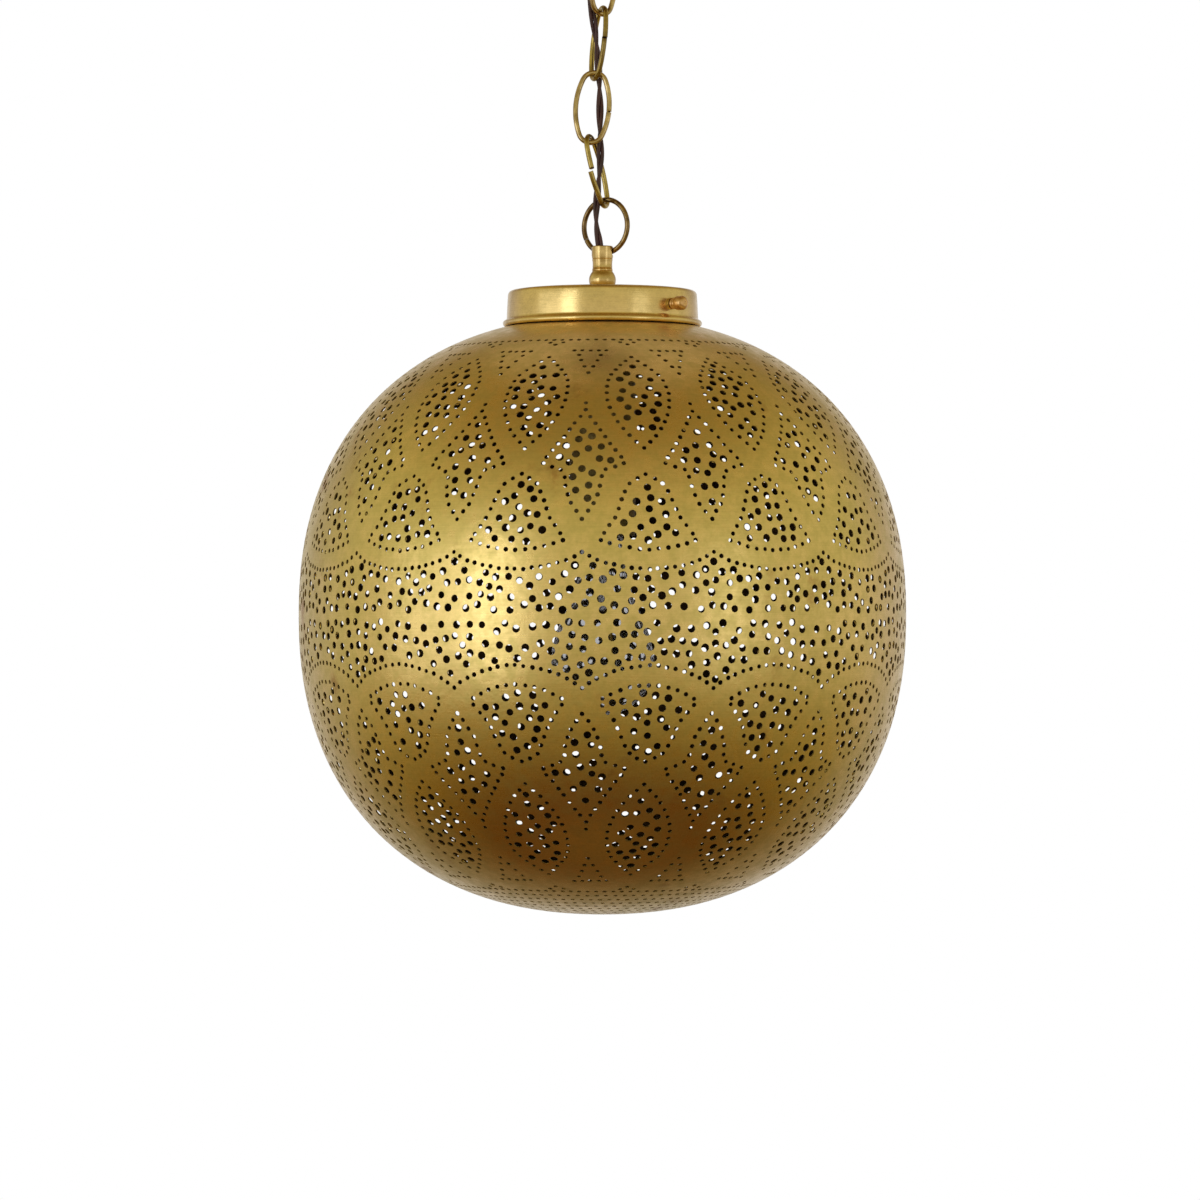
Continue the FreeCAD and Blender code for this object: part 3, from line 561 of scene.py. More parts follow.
def smooth(piece, crease=32):
    """Smooth shading, with edges sharper than the crease angle left crisp."""
    mesh = piece.data
    mesh.polygons.foreach_set("use_smooth", [True] * len(mesh.polygons))
    mesh.set_sharp_from_angle(angle=math.radians(crease))
    return piece


def arc(here, through, there, steps=10):
    """Points after here on the circle through three (r, z) points."""
    (ax, ay), (bx, by), (cx, cy) = here, through, there
    d = 2 * (ax * (by - cy) + bx * (cy - ay) + cx * (ay - by))
    a2, b2, c2 = ax * ax + ay * ay, bx * bx + by * by, cx * cx + cy * cy
    ux = (a2 * (by - cy) + b2 * (cy - ay) + c2 * (ay - by)) / d
    uy = (a2 * (cx - bx) + b2 * (ax - cx) + c2 * (bx - ax)) / d
    radius = math.hypot(ax - ux, ay - uy)
    angles = [math.atan2(y - uy, x - ux) for x, y in (here, through, there)]
    sweep = (angles[2] - angles[0]) % TURN
    if (angles[1] - angles[0]) % TURN > sweep:
        sweep -= TURN
    stops = [angles[0] + sweep * i / steps for i in range(1, steps + 1)]
    return [(ux + radius * math.cos(a), uy + radius * math.sin(a)) for a in stops]


def outline(*steps):
    """(r, z) points in millimetres; a pair of points is an arc through the first to the second."""
    points = [steps[0]]
    for step in steps[1:]:
        if isinstance(step[0], tuple):
            points += arc(points[-1], step[0], step[1])
        else:
            points.append(step)
    return points


def turned(name, material, points, level=0.0, steps_round=96, crease=32):
    """A turned piece from an outline in millimetres over a level in metres.

    The outline is closed unless it starts and ends on the axis.
    """
    profile = [(r * MM - SPINDLE, -(level + z * MM), 0) for r, z in points]
    closed = points[0][0] > 0 or points[-1][0] > 0
    inputs = {"Steps Round": steps_round, "Spindle": SPINDLE, "Material": materials[material]}
    made = turning.grow(name, line_mesh(profile, closed), **inputs)
    return smooth(facing_out(made), crease)


def marks_object(points, **attributes):
    """Loose points that carry named attributes, as punch or drill marks."""
    mesh = bpy.data.meshes.new("marks")
    mesh.from_pydata([tuple(p) for p in points], [], [])
    for name, values in attributes.items():
        kind = "FLOAT_VECTOR" if isinstance(values[0], (tuple, Vector)) else "FLOAT"
        field = "vector" if kind == "FLOAT_VECTOR" else "value"
        store = mesh.attributes.new(name, kind, "POINT")
        for item, value in zip(store.data, values):
            setattr(item, field, value)
    return put("marks", mesh)


def drilled(piece, holes, sides=32, crease=32):
    """Drill (place, direction, radius, depth) holes through a piece."""
    marks = marks_object(
        [place for place, _, _, _ in holes],
        aim=[way for _, way, _, _ in holes],
        size=[Vector((radius, radius, depth)) for _, _, radius, depth in holes],
    )
    name = piece.name
    material = piece.data.materials[0]
    mesh = piece.data.copy()
    bpy.data.objects.remove(piece)
    made = drilling.grow(name, mesh, Marks=marks, Sides=sides, Material=material)
    bpy.data.objects.remove(marks)
    return smooth(made, crease)


def bar(name, material, points, radius, sides=16):
    inputs = {"Bar Radius": radius, "Sides": sides, "Material": materials[material]}
    return smooth(facing_out(barring.grow(name, line_mesh(points), **inputs)), 50)


def stand_in(piece, body, slot, *nodes):
    """The piece rides on a body and stands for CAD nodes."""
    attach(piece, body)
    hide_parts(*nodes)


# ---- flex: two cores laid together, laced through the chain
CORE_RADIUS = 1.1 * MM
CORE_SIDES = 12
LAY_LENGTH = 52 * MM  # one full turn of the pair
FIRST_LAY_ANGLE = 0.6
SHEATH_SPAN = 0.05  # of the sheath's pattern along each stretch
flex_route = [Vector(p) * MM for p in (
    (-17.0, 3.0, -23.0),
    (-17.0, 3.0, -42.0),
    (-12.6, 2.6, -62.0),
    (-7.6, 0.9, -81.6),
    (-4.1, 1.6, -100.6),
    (-2.3, 4.9, -119.5),
    (-1.4, 4.6, -138.5),
    (-1.5, 0.6, -156.7),
    (-0.9, -1.2, -175.7),
    (-2.8, 1.0, -192.7),
    (-4.0, -1.3, -211.7),
    (-1.4, -1.95, -225.1),
    (-1.33, -1.85, -236.1),
    (-0.6, -0.8, -249.1),
    (-0.4, -0.1, -268.0),
    (0.2, 0.0, -287.0),
    (0.2, 0.0, -298.0),
)]
# runs of the route at whose middle one stretch ends and the next begins
flex_splits = (2, 4, 6, 8, 10)


def spline_points(points):
    """Points along the smooth line that hangs between the route's points."""
    data = bpy.data.curves.new("route", "CURVE")
    data.dimensions = "3D"
    data.resolution_u = 12
    spline = data.splines.new("NURBS")
    spline.points.add(len(points) - 1)
    for point, place in zip(spline.points, points):
        point.co = (*place, 1)
    spline.order_u = 3
    spline.use_endpoint_u = True
    route = put("route", data)
    mesh = plain_mesh(route)
    line = [v.co.copy() for v in mesh.vertices]
    bpy.data.objects.remove(route)
    bpy.data.meshes.remove(mesh)
    return line


def strand(line, start_angle):
    """One core's centreline, winding round the flex's line, and the angle that it ends at."""
    side = Vector((1, 0, 0))  # carried along the line without twist
    angle = start_angle
    path = []
    for i, place in enumerate(line):
        ahead = (line[min(i + 1, len(line) - 1)] - line[max(i - 1, 0)]).normalized()
        side = (side - ahead * side.dot(ahead)).normalized()
        path.append(place + (side * math.cos(angle) + ahead.cross(side) * math.sin(angle)) * CORE_RADIUS)
        if i + 1 < len(line):
            angle += TURN * (line[i + 1] - place).length / LAY_LENGTH
    return path, angle


def flex_stretches():
    """One piece for each stretch of the flex, made in place of the CAD stretch that it hides."""
    starts = [flex_route[0]] + [(flex_route[s] + flex_route[s + 1]) / 2 for s in flex_splits]
    ends = starts[1:] + [flex_route[-1]]
    firsts = [1] + [s + 1 for s in flex_splits]
    lasts = [s + 1 for s in flex_splits] + [len(flex_route) - 1]
    angle = FIRST_LAY_ANGLE
    for k in range(len(starts)):
        line = spline_points([starts[k]] + flex_route[firsts[k] : lasts[k]] + [ends[k]])
        one, next_angle = strand(line, angle)
        two, _ = strand(line, angle + math.pi)
        angle = next_angle
        piece = bar(f"flex_stretch_{k + 1}", "flex_sheath", one, CORE_RADIUS, CORE_SIDES)
        other = bar("second core", "flex_sheath", two, CORE_RADIUS, CORE_SIDES)
        wrap_core(piece)
        wrap_core(other)
        join(piece, other)
        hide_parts(f"flex_{k + 1}")
        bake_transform(piece)


def wrap_core(piece):
    """UV map over a core: once round across, and the sheath's span along."""
    mesh = piece.data
    sides = CORE_SIDES
    rings = len(mesh.vertices) // sides
    layer = mesh.uv_layers.new(name="lay")
    for face in mesh.polygons:
        columns = [mesh.loops[i].vertex_index % sides for i in face.loop_indices]
        wrapped = max(columns) - min(columns) > sides / 2
        for i in face.loop_indices:
            v = mesh.loops[i].vertex_index
            column = v % sides
            if wrapped and column == 0:
                column = sides
            layer.data[i].uv = (column / sides, (v // sides) / rings * SHEATH_SPAN)


def join(piece, *others):
    """Put other pieces' meshes into one piece's."""
    with bpy.context.temp_override(active_object=piece, selected_editable_objects=[piece, *others]):
        bpy.ops.object.join()


flex_stretches()


# ---- chain
WIRE_RADIUS = 1.5 * MM
LINK_LENGTH = 44.3 * MM
LINK_WIDTH = 22.3 * MM
LINK_END_RADIUS = 7.0 * MM
# each link's plane in degrees from +X towards the front, then in millimetres
# the height of its butt gap, how wide it opens and how far its ends miss
LINKS = ((-40.0, 1.5, 0.35, 0.0), (70.0, 2.6, 0.35, 0.25), (0.0, -1.6, 0.35, 0.3), (110.0, 2.5, 1.6, 1.1))
MISS_RUN = 12  # points over which the miss dies away


def across(degrees):
    a = math.radians(degrees)
    return Vector((math.cos(a), -math.sin(a), 0))


def oval(width, height, end_radius, steps=14):
    """Upper half of a closed oval, from the middle of its right side to the middle of its left."""
    a, b = width / 2, height / 2
    rise = b - end_radius
    side = (a * a + rise * rise - end_radius * end_radius) / (2 * (a - end_radius))
    lean = math.atan2(rise, side - a)
    turns = [lean * i / steps for i in range(steps)]
    points = [(a - side + side * math.cos(t), side * math.sin(t)) for t in turns]
    for i in range(steps + 1):
        t = lean + (math.pi - 2 * lean) * i / steps
        points.append((end_radius * math.cos(t), rise + end_radius * math.sin(t)))
    points += [(-x, z) for x, z in reversed(points[:steps])]
    return points


def chain_link(index):
    """Oval of round wire with its butt gap in the right side."""
    azimuth, gap_height, gap, miss = LINKS[index]
    low = hanging[index + 1]
    lean = (hanging[index] - low).normalized()
    side = across(azimuth)
    side = (side - lean * side.dot(lean)).normalized()
    flat = lean.cross(side)
    wire_height = LINK_LENGTH - 2 * WIRE_RADIUS
    centre = low + lean * wire_height / 2
    half_width = LINK_WIDTH / 2 - WIRE_RADIUS
    upper = oval(2 * half_width, wire_height, LINK_END_RADIUS)
    loop = upper + [(-x, -z) for x, z in upper[1:-1]]
    top_end = (gap_height + gap / 2) * MM
    foot_end = (gap_height - gap / 2) * MM
    start = next(i for i, (x, z) in enumerate(loop) if z >= top_end and x > 0)
    ordered = [(x, z) for x, z in loop[start:] + loop[:start] if x < 0 or not foot_end < z < top_end]
    ordered = [(half_width, top_end)] + ordered + [(half_width, foot_end)]
    count = len(ordered)
    points = []
    for i, (x, z) in enumerate(ordered):
        drift = max(0.0, 1 - i / MISS_RUN) - max(0.0, 1 - (count - 1 - i) / MISS_RUN)
        points.append(centre + side * x + lean * z + flat * (miss * MM / 2 * drift))
    # links 2 and 4 take the darker copy of the chain brass, painted shade; links 1 and 3 the paler chain
    # brass
    finish = "painted_shade_chain_brass" if index % 2 else "chain_brass"
    made = bar(f"chain_link_{index + 1}", finish, points, WIRE_RADIUS)
    stand_in(made, f"link_{index + 1}", "chain_brass", f"link_{index + 1}")


for number in range(len(LINKS)):
    chain_link(number)

RING_RADIUS = 15.4 * MM
RING_AZIMUTH = 36.0
RING_GAP_ANGLE = 208.0  # from the right, over the top
RING_GAP = 0.8 * MM
RING_STEPS = 84


def hanging_ring():
    side = across(RING_AZIMUTH)
    centre = hanging[5] + UP * RING_RADIUS
    opening = RING_GAP / RING_RADIUS
    start = math.radians(RING_GAP_ANGLE) + opening / 2
    points = []
    for i in range(RING_STEPS + 1):
        a = start + (TURN - opening) * i / RING_STEPS
        points.append(centre + side * RING_RADIUS * math.cos(a) + UP * RING_RADIUS * math.sin(a))
    made = bar("hanging_loop", "antique_brass", points, WIRE_RADIUS)
    stand_in(made, "ring", "antique_brass", "hanging_ring")


hanging_ring()


# ---- finial
def finial():
    """Turned finial with fine cut lines, cross-drilled for the ring.

    The flex's hole goes in from the top only: below it this finial is solid, where the CAD one is hollow.
    """
    low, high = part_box("finial")
    height = mm(high.z - low.z)
    head = 6.2
    neck = 5.75

    line_depth = 0.28

    def lines(levels, radius):
        """Fine grooves cut at the given heights."""
        cut = []
        for z in levels:
            cut += [(radius, z - line_depth), (radius - line_depth, z), (radius, z + line_depth)]
        return cut

    body = outline(
        (0, 0.0),
        (6.5, 0.0),
        ((6.7, 0.5), (6.5, 1.1)),
        (6.0, 1.6),
        ((7.8, 6.0), (6.1, 11.0)),
        *lines((11.6, 12.5), 6.0),
        *lines((13.4,), neck),
        ((neck - 0.1, 15.0), (neck, 17.0)),
        *lines((18.6,), 5.95),
        (head, 20.6),
        (head, height - 0.5),
        (head - 0.5, height),
        (0, height),
    )
    piece = turned("turned_finial", "turned_brass", body, low.z, 96, 28)
    along = across(RING_AZIMUTH)
    back = along.cross(UP) * -1
    hole = hanging[5] + UP * 0.45 * MM
    front = Vector((0, 0, high.z)) - back * 2.3 * MM
    ring_hole = (hole, along, 2.5 * MM, 40 * MM)
    flex_hole = (front, UP, 2.45 * MM, 24 * MM)  # half of its depth lies over the top
    piece = drilled(piece, [ring_hole, flex_hole])
    stand_in(piece, "lantern", "turned_brass", "finial")


finial()


# ---- collar that holds the globe's neck
SCREW_AZIMUTHS = (45.0, 225.0)


def outward(degrees):
    a = math.radians(degrees)
    return Vector((math.sin(a), -math.cos(a), 0))


def screw_level(number):
    low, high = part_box(f"thumbscrew_{number}")
    return (low.z + high.z) / 2


def collar():
    """Spun cap with a rounded top corner, a fine step under it, and a rolled bead at its foot."""
    foot = gallery_low.z
    top = mm(gallery_high.z - foot)
    bead = 1.8
    wall = 55.7
    body = outline(
        (5.1, top),
        (52.0, top),
        ((53.7, top - 0.65), (54.55, top - 2.3)),
        (54.75, top - 5.0),
        (55.25, 2 * bead + 1.6),
        ((55.45, 2 * bead + 0.5), (wall + 0.2, 2 * bead - 0.05)),
        ((wall + bead, bead), (wall, 0.0)),
        ((wall - bead + 0.35, 0.8), (54.2, 2 * bead)),
        (53.6, top - 3.4),
        ((53.1, top - 1.6), (51.6, top - 1.0)),
        (5.1, top - 1.0),
    )
    piece = turned("spun_collar", "collar_brass", body, foot, 160, 30)
    holes = [
        (outward(a) * 54 * MM + UP * screw_level(1), outward(a), 3.45 * MM, 8 * MM)
        for a in SCREW_AZIMUTHS
    ]
    stand_in(drilled(piece, holes, 32, 30), "lantern", "collar_brass", "gallery")


collar()


def thumbscrew(number, azimuth):
    """Screw with a threaded shank, a collar, a waist and a domed head."""
    node = f"thumbscrew_{number}"
    tip = 51.3
    seat = 56.6
    thread = []
    z = tip + 0.6
    while z < seat - 0.6:
        thread += [(1.95, z), (1.65, z + 0.25)]
        z += 0.5
    body = outline(
        (0, tip), (1.5, tip), *thread, (1.95, seat - 0.2), (1.95, seat),
        (3.0, seat), ((3.35, seat + 0.6), (3.0, seat + 1.2)),
        ((2.3, seat + 1.9), (2.6, seat + 2.9)),
        ((3.5, seat + 3.1), (4.0, seat + 3.9)), (4.0, seat + 7.6),
        ((3.3, seat + 8.8), (0, seat + 9.2)),
    )
    piece = turned(f"brass_thumbscrew_{number}", "red_brass", body, 0.0, 40, 35)
    turn = UP.rotation_difference(outward(azimuth)).to_matrix().to_4x4()
    turn.translation = UP * screw_level(number)
    piece.data.transform(turn)
    stand_in(piece, node, "red_brass", node)


for number, azimuth in enumerate(SCREW_AZIMUTHS, 1):
    thumbscrew(number, azimuth)


# ---- globe: spun sheet, then its pattern
SQUARENESS = 2.25  # exponent of the superellipse that the section follows
SHEET = 0.7 * MM
NECK_RADIUS = 51.0 * MM
NECK_FOLD = 2.0 * MM
PETALS = 15  # fans round the globe
VARIANTS = 5  # neighbouring petals punched each in their own way, before they repeat
SMALL = 1.33 * MM
LARGE = 2.16 * MM
SMALL_STEP = 5.2 * MM
LARGE_STEP = 5.85 * MM
EDGE_GAP = 4.4 * MM  # from an outline's dots to the nearest large hole
PATTERN_TURN = 8.3  # degrees from the front to the middle of a fan


def section_slope(r, z):
    """Unit normal (r, z) of the formula at a place on the section."""
    nr = (r / globe_radius) ** (SQUARENESS - 1) / globe_radius
    nz = (z / globe_half_height) ** (SQUARENESS - 1) / globe_half_height
    size = math.hypot(nr, nz)
    return nr / size, nz / size


def section(t, inset=0.0):
    """(r, z) on the section at an angle of its formula, set in from the outer face."""
    r = globe_radius * max(0.0, math.cos(t)) ** (2 / SQUARENESS)
    z = globe_half_height * math.sin(t) ** (2 / SQUARENESS)
    nr, nz = section_slope(r, z)
    return r - inset * nr, z - inset * nz


def section_angle(r):
    return math.acos((r / globe_radius) ** (SQUARENESS / 2))


def lengths_along(line):
    """Distance along a line to each of its points."""
    lengths = [0.0]
    for here, there in zip(line, line[1:]):
        lengths.append(lengths[-1] + math.dist(here, there))
    return lengths


def point_at(line, lengths, want):
    """Place on a line at a distance along it."""
    k = min(max(bisect.bisect_right(lengths, want) - 1, 0), len(line) - 2)
    share = (want - lengths[k]) / max(1e-12, lengths[k + 1] - lengths[k])
    return tuple(a + (b - a) * share for a, b in zip(line[k], line[k + 1]))


MERIDIAN_STEPS = 1500
meridian_line = [section(math.pi / 2 * i / MERIDIAN_STEPS) for i in range(MERIDIAN_STEPS + 1)]
meridian_lengths = lengths_along(meridian_line)
meridian_total = meridian_lengths[-1]


def meridian(s):
    """(r, z) at a length up the section from the equator."""
    return point_at(meridian_line, meridian_lengths, min(max(s, 0.0), meridian_total))


class Pattern:
    """Punch marks of some neighbouring petals: angle, radius and height, then hole radius and wander."""

    def __init__(self, seed):
        self.marks = []
        self.draw = random.Random(seed)

    def add(self, petal, across_mm, s, radius, wander):
        """A mark in millimetres up the section, and across from a line some petals round."""
        r, z = meridian(s * MM)
        if r > 1e-6:
            self.marks.append((TURN / PETALS * petal + across_mm * MM / r, r, z, radius, wander * MM))

    def dots(self, petal, places, wander):
        """Small dots at (across, s) places, and at their mirror images."""
        for x, s in places:
            self.add(petal, x, s, SMALL, wander)
            if abs(x) > 0.4:
                self.add(petal, -x, s, SMALL, wander)

    def dotted(self, petal, path, wander=0.28, step=mm(SMALL_STEP), last_too=True):
        """Small dots evenly along a smooth line through (across, s) points, and its mirror image."""
        line = eased(path)
        lengths = lengths_along(line)
        count = max(1, round(lengths[-1] / step))
        places = [point_at(line, lengths, lengths[-1] * i / count) for i in range(count + last_too)]
        self.dots(petal, places, wander)

    def scattered(self, petal, path, wander=0.3, tries=1500):
        """Large holes strewn inside a symmetric outline, clear of its edge and of each other."""
        half = eased(path)
        edge = half + [(-x, s) for x, s in reversed(half)]
        reach = max(x for x, _ in half)
        low = min(s for _, s in half)
        high = max(s for _, s in half)
        placed = []
        for _ in range(tries):
            place = (self.draw.uniform(-reach, reach), self.draw.uniform(low, high))
            if not inside(edge, *place) or any(math.dist(place, q) <= mm(EDGE_GAP) for q in edge):
                continue
            if all(math.dist(place, q) > mm(LARGE_STEP) for q in placed):
                placed.append(place)
                self.add(petal, *place, LARGE, wander)


def inside(edge, x, s):
    """Whether a place is inside a closed outline."""
    found = False
    for (x0, s0), (x1, s1) in zip(edge, edge[1:] + edge[:1]):
        if (s0 > s) != (s1 > s) and x < x0 + (s - s0) / (s1 - s0) * (x1 - x0):
            found = not found
    return found


def eased(path, steps=8):
    """A smooth line through a few points; a point that is given twice stays a corner."""
    runs = [[path[0]]]
    for p, q in zip(path, path[1:]):
        if p == q:
            runs.append([q])
        else:
            runs[-1].append(q)
    line = []
    for run in runs:
        for i in range(len(run) - 1):
            before = run[max(i - 1, 0)]
            a, b = run[i], run[i + 1]
            after = run[min(i + 2, len(run) - 1)]
            for k in range(steps):
                t = k / steps
                line.append(tuple(
                    0.5 * (2 * a[j] + (b[j] - before[j]) * t
                           + (2 * before[j] - 5 * a[j] + 4 * b[j] - after[j]) * t * t
                           + (3 * a[j] - before[j] - 3 * b[j] + after[j]) * t ** 3)
                    for j in (0, 1)
                ))
        line.append(run[-1])
    return line


FAN = [(0, 78.1), (8.6, 73.2), (12.9, 65.5), (16.7, 55.7), (22.4, 47.0), (26.9, 41.6),
       (26.9, 41.6), (18.8, 38.7), (9.3, 36.6), (0, 35.8)]
KITE = [(0, 119.0), (3.2, 114.0), (8.2, 105.7), (14.1, 96.7), (23.0, 85.0),
        (23.0, 85.0), (16.0, 82.2), (10.5, 80.0),
        (10.5, 80.0), (9.3, 70.9), (6.3, 61.7), (0, 52.8)]
OVAL = [(0, 94.0), (9.0, 104.2), (15.3, 117.0), (17.2, 130.0), (14.8, 143.5), (8.6, 153.5), (0, 164.1)]
SCALLOP = [(0, 25.4), (8.0, 25.8), (20.0, 27.9), (28.5, 30.4), (36.2, 34.6)]
LOWER_FAN = [(0, 80.4), (8.6, 76.0), (12.9, 68.5), (16.9, 59.0), (22.6, 51.0), (26.9, 45.8),
             (26.9, 45.8), (18.8, 41.2), (9.3, 38.0), (0, 37.0)]
LOWER_SCALLOP = [(0, 26.4), (8.0, 27.0), (20.0, 30.0), (28.5, 33.6), (36.2, 38.8)]
SEAM_GAP = 3.0  # from the seam between the halves to the nearest hole's middle
BAND_GAP = 0.92 * mm(EDGE_GAP)  # from the scalloped row to the nearest hole's middle
BAND_TRIES = 9000
ROW_STEP = 4.9
# dots up both sides of each cusp's small triangle, and the row of dots that closes it
TRIANGLE = [(6.2, 166.3), (4.4, 160.6), (2.4, 154.6)]
TRIANGLE_FOOT = 148.6
TRIANGLE_TOP = 171.5
TRIANGLE_STEP = 4.45
KITE_TIP = 124.2
RING_LEVEL = 185.2
RING_DOTS = 8  # in each petal
TASSEL = ((-3.9, 181.6), (3.9, 181.6), (0, 178.9))  # dots under the ring
# rings of dots over the lower half's foot
FOOT_FIRST = 191.5
FOOT_RINGS = 13
FOOT_CLEAR = 5.0
FOOT_FEWEST = 0.75  # dots in each petal


def level_at(row, x):
    """Height of a scalloped row at a distance round the equator from a petal's middle."""
    for (x0, s0), (x1, s1) in zip(row, row[1:]):
        if x <= x1:
            return s0 + (s1 - s0) * (x - x0) / (x1 - x0)
    return row[-1][1]


def band(pattern, row):
    """Large holes strewn between the seam and the scalloped row, all the way along the petals."""
    pitch = mm(TURN * globe_radius / PETALS)
    length = VARIANTS * pitch
    placed = []
    for _ in range(BAND_TRIES):
        x = pattern.draw.uniform(0, length)
        s = pattern.draw.uniform(SEAM_GAP, row[-1][1])
        off = abs((x + pitch / 2) % pitch - pitch / 2)
        if s > level_at(row, off) - BAND_GAP:
            continue
        aways = [abs(x - q) for q, _ in placed]
        if all(math.hypot(min(a, length - a), s - u) > mm(LARGE_STEP) for a, (_, u) in zip(aways, placed)):
            placed.append((x, s))
            pattern.add(x / pitch, 0, s, LARGE, 0.3)


def half_pattern(seed, fan=FAN, row=SCALLOP):
    """Everything that both halves of the globe have, from the equator up to the ring of dots."""
    pattern = Pattern(seed)
    band(pattern, row)
    ring_step = TURN / PETALS * mm(meridian(RING_LEVEL * MM)[0]) / RING_DOTS
    for flower in range(VARIANTS):
        cusp = flower + 0.5
        pattern.dotted(flower, row, step=ROW_STEP, last_too=False)
        pattern.dots(cusp, [(0, row[-1][1])], 0.2)
        pattern.dotted(flower, fan)
        pattern.scattered(flower, fan)
        pattern.dotted(cusp, KITE)
        pattern.dots(cusp, [(0, KITE_TIP)], 0.2)
        pattern.scattered(cusp, KITE)
        pattern.dotted(flower, OVAL, wander=0.2)
        pattern.scattered(flower, OVAL)
        for i in range(-2, 3):
            pattern.add(cusp, i * TRIANGLE_STEP, TRIANGLE_TOP, SMALL, 0.25)
        pattern.dots(cusp, TRIANGLE + [(0, TRIANGLE_FOOT)], 0.25)
        for i in range(RING_DOTS):
            pattern.add(flower, (i - (RING_DOTS - 1) / 2) * ring_step, RING_LEVEL, SMALL, 0.15)
        for x, s in TASSEL:
            pattern.add(flower, x, s, SMALL, 0.2)
    return pattern


def rosette_pattern(seed):
    """The half pattern, and rings of dots that close the lower half's foot."""
    pattern = half_pattern(seed, LOWER_FAN, LOWER_SCALLOP)
    gap = (mm(meridian_total) - FOOT_FIRST - FOOT_CLEAR) / (FOOT_RINGS - 1)
    for ring in range(FOOT_RINGS):
        s = FOOT_FIRST + gap * ring
        per_petal = TURN * mm(meridian(s * MM)[0]) / PETALS / mm(SMALL_STEP)
        count = max(1, round(per_petal * VARIANTS))
        if per_petal > FOOT_FEWEST:
            for i in range(count):
                pattern.add((i + 0.5 * (ring % 2)) * VARIANTS / count, 0, s, SMALL, 0.25)
    return pattern


def globe_blank(lower):
    """Closed outline of one half's sheet, in millimetres over the globe's centre."""
    steps = 44
    end = math.pi / 2 if lower else section_angle(NECK_RADIUS + NECK_FOLD)
    outer = [section(end * i / steps) for i in range(steps + 1)]
    inner = [section(end * i / steps, SHEET) for i in range(steps + 1)]
    if lower:
        return [(mm(r), -mm(z)) for r, z in outer + inner[::-1]]
    r, z = outer[-1]
    turn_z = z + NECK_FOLD
    neck_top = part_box("globe_upper")[1].z - globe_z
    half_way = math.sqrt(0.5)  # round the fold
    outside = NECK_FOLD * half_way
    within = (NECK_FOLD + SHEET) * half_way
    shoulder = NECK_RADIUS + NECK_FOLD
    rise = arc((r, z), (shoulder - outside, turn_z - outside), (NECK_RADIUS, turn_z), 6)
    back = [(NECK_RADIUS, neck_top), (NECK_RADIUS - SHEET, neck_top), (NECK_RADIUS - SHEET, turn_z)]
    fall = arc(back[-1], (shoulder - within, turn_z - within), inner[-1], 6)
    return [(mm(r), mm(z)) for r, z in outer + rise + back + fall + inner[-2::-1]]


def surface_normal(co):
    """Outward normal of the globe's formula at a place."""
    x, y, z = co.x, co.y, co.z - globe_z
    r = math.hypot(x, y)
    if r < 1e-6:
        return Vector((0, 0, math.copysign(1, z)))
    nr, nz = section_slope(r, abs(z))
    return Vector((nr * x / r, nr * y / r, math.copysign(nz, z)))


def sheet_depth(co):
    """How deep a place lies under the globe's outer face, near enough."""
    n = SQUARENESS
    r = math.hypot(co.x, co.y)
    reach = ((r / globe_radius) ** n + (abs(co.z - globe_z) / globe_half_height) ** n) ** (1 / n)
    return (1 - reach) * math.hypot(r, co.z - globe_z)


def true_normals(mesh):
    """Give the sheet's two faces the normals of the formula, and leave the holes' walls as they are."""
    mesh.polygons.foreach_set("use_smooth", [True] * len(mesh.polygons))
    under = [sheet_depth(v.co) > SHEET / 2 for v in mesh.vertices]
    normals = [surface_normal(v.co) for v in mesh.vertices]
    neck = [math.hypot(v.co.x, v.co.y) < NECK_RADIUS + NECK_FOLD and v.co.z > globe_z for v in mesh.vertices]
    custom = [None] * len(mesh.loops)
    for face in mesh.polygons:
        corners = list(face.vertices)
        deep = sum(under[v] for v in corners)
        bare = any(neck[v] for v in corners)
        for i, v in zip(face.loop_indices, corners):
            if bare or 0 < deep < len(corners):
                custom[i] = face.normal.copy()
            else:
                custom[i] = -normals[v] if deep else normals[v]
        # faces deep under the outer face take the second material, the inside brass darkened as painted shade
        face.material_index = 1 if deep == len(corners) and not bare else 0
    mesh.normals_split_custom_set(custom)


def globe_half(name, node, pattern, seed, lower):
    """One half of the globe: its blank, punched with a pattern."""
    blank = turned(name, "globe_brass", globe_blank(lower), globe_z, 120)
    up = -1 if lower else 1
    turn = math.radians(PATTERN_TURN)
    marks = marks_object(
        [
            (r * math.sin(a + turn), -r * math.cos(a + turn), globe_z + up * z)
            for a, r, z, _, _ in pattern.marks
        ],
        hole_radius=[radius for _, _, _, radius, _ in pattern.marks],
        wander=[wander for _, _, _, _, wander in pattern.marks],
    )
    mesh = blank.data.copy()
    bpy.data.objects.remove(blank)
    made = punching.grow(name, mesh, **{
        "Marks": marks, "Repeats": PETALS // VARIANTS, "Punch Depth": 5 * MM, "Small Sides": 7,
        "Large Sides": 10, "Large From": 1.6 * MM, "Centre": (0.0, 0.0, globe_z), "Seed": seed,
        "Uneven Size": 0.09, "Material": materials["globe_brass"],
    })
    bpy.data.objects.remove(marks)
    # the second material is the globe's inside, darkened as painted shade
    made.data.materials.append(materials["inner_brass"])
    true_normals(made.data)
    stand_in(made, "globe", "globe_brass", node)


globe_half("pierced_globe_upper", "globe_upper", half_pattern(21), 3, False)
globe_half("pierced_globe_lower", "globe_lower", rosette_pattern(34), 8, True)


